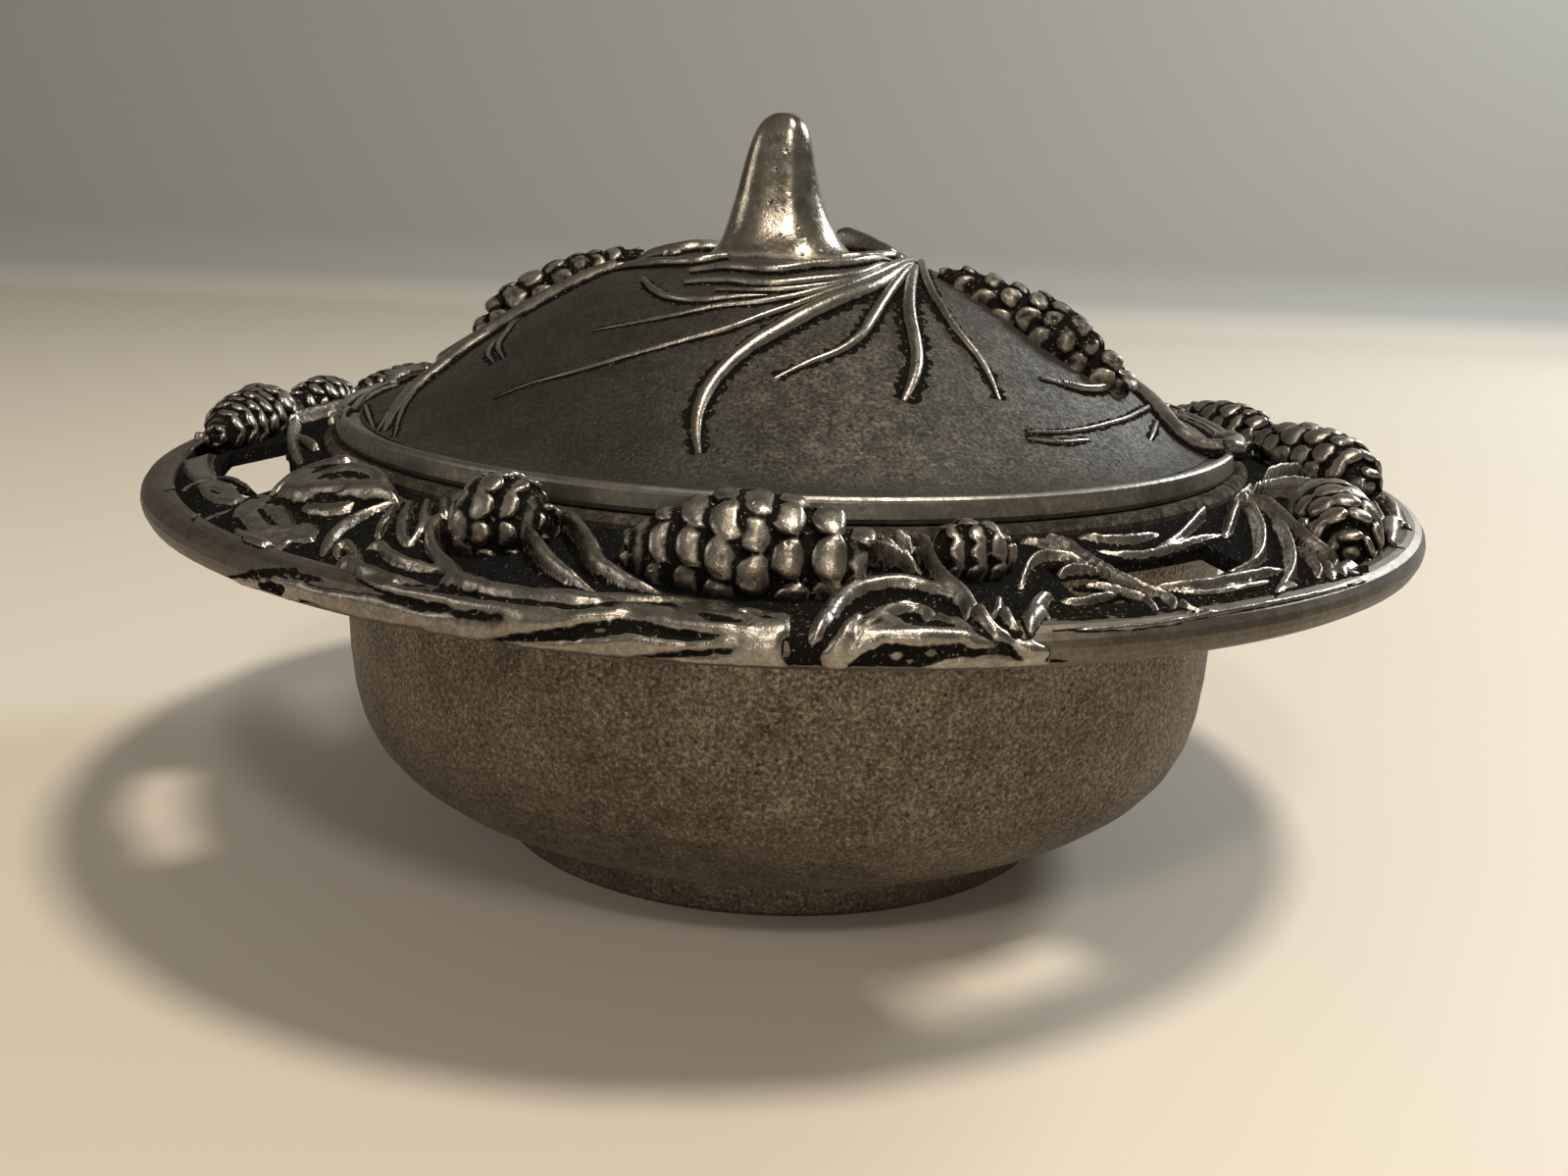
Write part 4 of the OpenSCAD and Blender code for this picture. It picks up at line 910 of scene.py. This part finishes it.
def ridge(path, ground, widths, heights, skirt):
    """a low ridge along a path over a turned ground: half widths and heights in metres at
    its start, middle and end, and widths of bare patina on each side, point by point"""
    count = len(path)
    share = np.linspace(0, 1, count)
    half = np.interp(share, (0, 0.5, 1), widths)
    tall = np.interp(share, (0, 0.5, 1), heights)
    start, end = needle_tips
    fall = np.minimum(start + (1 - start) * np.sin(np.clip(share / 0.16, 0, 1) * math.pi / 2),
                      end + (1 - end) * np.sin(np.clip((1 - share) / 0.22, 0, 1) * math.pi / 2))
    tall = tall * fall
    half = half * (0.35 + 0.65 * fall)
    bearing, along, _ = ground.nearest(path)
    radius = np.hypot(path[:, 0], path[:, 1])
    ahead = np.stack([np.gradient(np.unwrap(bearing)) * radius, np.gradient(along)], 1)
    ahead /= np.linalg.norm(ahead, axis=1)[:, None]
    points, faces, wear = [], [], []
    width = len(needle_profile)
    for i in range(count):
        for across, rise, worn in needle_profile:
            reach = across * half[i]
            if abs(across) == 2:
                reach = math.copysign(half[i] * 1.05 + skirt[i, int(across > 0)], across)
            lift = max(rise, 0) * tall[i] + (patina_lift if rise >= 0 else -needle_sunk)
            points.append(ground.at(bearing[i] + ahead[i, 1] * reach / radius[i],
                                    along[i] - ahead[i, 0] * reach, lift))
            wear.append(worn)
    for i in range(count - 1):
        for j in range(width):
            k = (j + 1) % width
            faces.append((i * width + j, i * width + k, (i + 1) * width + k, (i + 1) * width + j))
    faces += [tuple(reversed(range(width))), tuple(range((count - 1) * width, count * width))]
    made = mesh_piece("ridge", points, faces)
    set_wear(made, wear)
    return made


# half width and height at start, middle and end, width of the patina, in millimetres,
# then the pixels along the crest
lid_strands = [
    ((1.5, 1.6, 0.5), (2.3, 2.0, 0.7), 0.47, [(620, 247), (580, 269), (545, 289), (510, 312), (480, 333),
        (455, 350), (430, 366), (400, 388), (370, 405), (350, 420)]),
    ((1.3, 2.0, 0.6), (2.1, 1.9, 0.6), 0.55, [(625, 258), (590, 275), (560, 290), (530, 308), (500, 330),
        (470, 350), (445, 370), (422, 390), (403, 412), (390, 436)]),
    ((0.4, 0.5, 0.2), (0.8, 0.6, 0.3), 0.40, [(480, 343), (450, 368), (430, 388), (411, 413), (401, 444)]),
    ((0.5, 0.7, 0.3), (0.8, 0.6, 0.4), 0.62, [(625, 268), (595, 283), (560, 300), (535, 318), (515, 337),
        (507, 350), (512, 363)]),
    ((0.3, 0.4, 0.2), (0.4, 0.4, 0.2), 0.55, [(505, 345), (497, 357), (503, 369)]),
    ((0.25, 0.3, 0.2), (0.2, 0.25, 0.1), 0.47, [(372, 412), (376, 424), (381, 436)]),
    ((0.25, 0.3, 0.2), (0.2, 0.25, 0.1), 0.47, [(395, 420), (389, 431), (384, 441)]),
    ((0.8, 0.6, 0.3), (1.3, 0.8, 0.3), 0.43, [(935, 258), (900, 272), (860, 288), (820, 303), (780, 317),
        (740, 332), (700, 343), (640, 360), (580, 378), (540, 389), (502, 404)]),
    ((0.7, 0.6, 0.3), (1.2, 0.8, 0.3), 0.43, [(930, 262), (880, 278), (830, 293), (780, 303), (730, 309),
        (690, 318), (640, 328), (601, 336)]),
    ((0.5, 0.6, 0.4), (1.0, 0.8, 0.4), 0.55, [(655, 281), (668, 293), (685, 300), (710, 303), (740, 301),
        (782, 298)]),
    ((1.0, 1.5, 0.9), (1.6, 1.5, 0.8), 0.85, [(930, 264), (895, 283), (860, 297), (825, 312), (795, 328),
        (765, 346), (742, 365), (723, 388), (712, 412), (709, 435), (712, 458)]),
    ((0.8, 0.9, 0.5), (1.5, 1.2, 0.5), 0.78, [(930, 267), (908, 292), (893, 315), (878, 337), (855, 354),
        (825, 366), (790, 382)]),
    ((0.8, 1.1, 0.9), (1.5, 1.3, 0.8), 1.15, [(935, 267), (930, 290), (930, 315), (935, 340), (937, 362),
        (932, 385), (923, 404)]),
    ((0.7, 0.7, 0.5), (1.4, 1.1, 0.6), 0.93, [(940, 262), (950, 288), (963, 310), (980, 335), (998, 358),
        (1010, 378), (1021, 404)]),
    ((1.0, 1.0, 0.9), (1.8, 1.6, 1.4), 0.40, [(858, 230), (880, 236), (905, 244), (937, 253)]),
    ((1.3, 1.0, 0.8), (5.0, 3.0, 1.4), 0.40, [(856, 214), (868, 225), (885, 234), (906, 243), (930, 250)]),
    ((0.9, 1.0, 0.9), (1.6, 1.5, 1.4), 0.40, [(858, 256), (880, 257), (910, 254), (937, 255)]),
    ((0.6, 0.8, 0.7), (0.9, 1.3, 1.4), 0.47, [(703, 272), (740, 268), (790, 270), (830, 265), (870, 262),
        (910, 257)]),
    ((0.6, 0.7, 0.7), (0.8, 1.0, 1.3), 0.47, [(698, 284), (740, 282), (785, 285), (830, 281), (870, 276),
        (912, 262)]),
    ((0.4, 0.5, 0.6), (0.5, 0.8, 1.2), 0.47, [(730, 293), (780, 293), (830, 289), (870, 281), (915, 266)]),
    ((1.6, 2.2, 1.4), (1.6, 2.0, 1.6), 0.55, [(735, 243), (700, 246), (670, 251), (640, 258)]),
    ((0.7, 0.9, 0.6), (1.2, 1.3, 0.8), 0.62, [(740, 256), (710, 261), (680, 262), (648, 266), (622, 270)]),
    ((0.5, 0.6, 0.3), (0.6, 0.5, 0.2), 0.47, [(1145, 360), (1165, 385), (1185, 408), (1210, 425),
        (1240, 445)]),
    ((0.6, 0.5, 0.3), (1.0, 0.7, 0.4), 0.55, [(1151, 347), (1168, 364), (1184, 386)]),
    ((0.3, 0.4, 0.3), (0.5, 0.5, 0.3), 0.40, [(1062, 384), (1086, 390), (1111, 398)]),
    ((0.3, 0.45, 0.3), (0.4, 0.5, 0.3), 0.40, [(1048, 439), (1090, 438), (1130, 430), (1160, 420),
        (1174, 411)]),
    ((0.25, 0.4, 0.25), (0.3, 0.4, 0.2), 0.40, [(1048, 446), (1080, 449), (1111, 447)]),
    ((0.3, 0.4, 0.3), (0.4, 0.4, 0.3), 0.40, [(1181, 428), (1178, 437), (1174, 447)]),
    ((0.7, 0.8, 0.5), (1.0, 1.2, 0.6), 0.47, [(1086, 387), (1108, 392), (1134, 389), (1145, 377)])]
ragged = np.random.default_rng(7)
lid_ridges = []
for turn, rows in ((0, lid_strands), (181, lid_strands[:2] + lid_strands[7:14])):
    for halves, tops, patina, pixels in rows:
        halves, tops = [h * 0.001 for h in halves], [t * 0.001 for t in tops]
        path = seen_line(pixels, lid_ground, tops, turn)
        skirt = patina * 0.001 * ragged.uniform(0.35, 1.6, (len(path), 2))
        lid_ridges.append(ridge(path, lid_ground, halves, tops, skirt))
lid_needle_ridges = join_up("lid_needle_ridges", lid_ridges)
turn_faces()
bpy.ops.object.shade_smooth_by_angle(angle=math.radians(60))
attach(lid_needle_ridges, "lid")
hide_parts("lid_needles")
coat(lid_needle_ridges, relief_cast)


# The lid's own pine cones, of the same kind as the rim's but flatter, lie down the dome
# from the finial's root, cast with it and half sunk in the panel.
lid_radius = 0.072


def lid_spot(x_share, y_share, lift):
    """a point over the dome, at shares of the lid's radius along x and y"""
    x, y = x_share * lid_radius, y_share * lid_radius
    along = np.interp(math.hypot(x, y), lid_ground.outline[:, 0], lid_ground.along)
    return lid_ground.at(math.atan2(y, x), along, lift)


# tip and stalk in shares of the lid's radius, size, lift and length of a scale in millimetres
lid_cones = [(0.325, -0.10, 0.71, -0.235, 0.90, -0.4, 3.9), (-0.35, 0.16, -0.70, 0.05, 0.75, 1.2, 3.5),
             (0.62, 0.25, 0.83, 0.21, 0.5, 0.5, 2.6), (-0.08, 0.3, -0.22, 0.68, 0.74, 0.5, 3.2),
             (0.3, 0.3, 0.52, 0.56, 0.62, 0.5, 3.0)]
cone_parts = []
for tip_x, tip_y, stalk_x, stalk_y, size, lift, scale in lid_cones:
    cone_parts += pine_cone(lid_spot(stalk_x, stalk_y, lift * 0.001), lid_spot(tip_x, tip_y, lift * 0.001),
                            cone_radius * size, scale * 0.001, lid_ground)
lid_pine_cones = fuse("lid_pine_cones", cone_parts, 120000)
set_wear(lid_pine_cones, measured_wear(lid_pine_cones))
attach(lid_pine_cones, "lid")
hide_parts("lid_cones")
coat(lid_pine_cones, relief_cast)

# The finial, shaped as a branch stub that leans a little, with soft flats down its sides
# and a foot that flares out and sinks into the crown; cast with the lid and polished by hands.
finial_cast = pewter("finial_pewter", (0.18, 0.155, 0.12), (0.50, 0.44, 0.35), (0.014, 0.011, 0.009),
                     grain=0.5, pits=0.7, gloss=0.83, blotch=1.0, bump=0.5, fine=1.2, wear="wear")
finial_x = -0.0026
crown = lid_ground.outline[0, 1]
# height over the crown, radius and shift to the side, in metres
finial_rings = [(-0.0030, 0.0165, 0.0), (-0.0004, 0.0128, 0.0004), (0.0014, 0.0104, 0.0003),
                (0.0046, 0.0086, -0.0002), (0.0096, 0.0068, -0.0004), (0.0146, 0.0057, -0.0003),
                (0.0192, 0.0046, 0.0), (0.0214, 0.0030, 0.0002), (0.0222, 0.0012, 0.0002)]
bpy.ops.object.select_all(action="DESELECT")
bpy.ops.mesh.primitive_circle_add(vertices=14, radius=1.0, fill_type="NGON")
finial_stub = bpy.context.object
bpy.ops.object.mode_set(mode="EDIT")
bpy.ops.mesh.select_all(action="SELECT")
for _ in finial_rings[1:]:
    bpy.ops.mesh.extrude_region_move(TRANSFORM_OT_translate={"value": (0, 0, 1.0)})
bpy.ops.object.mode_set(mode="OBJECT")
for vertex in finial_stub.data.vertices:
    rise, radius, shift = finial_rings[round(vertex.co.z)]
    bearing = math.atan2(vertex.co.y, vertex.co.x)
    flats = 1 + 0.09 * math.cos(3 * bearing + 1.1 + 40 * rise) + 0.07 * math.cos(5 * bearing - 0.4)
    vertex.co = (finial_x + shift + radius * flats * math.cos(bearing), radius * flats * math.sin(bearing),
                 crown + rise)
turn_faces()
apply_modifier(finial_stub, "SUBSURF", levels=3, render_levels=3)
bpy.ops.object.shade_smooth()
finial_stub.name = "finial_stub"
heights = np.array([v.co.z for v in finial_stub.data.vertices]) - crown
set_wear(finial_stub, 0.25 + 0.75 * np.clip(heights / 0.003, 0, 1))
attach(finial_stub, "lid")
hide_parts("finial", "finial_root", "lid_knots")
coat(finial_stub, finial_cast)
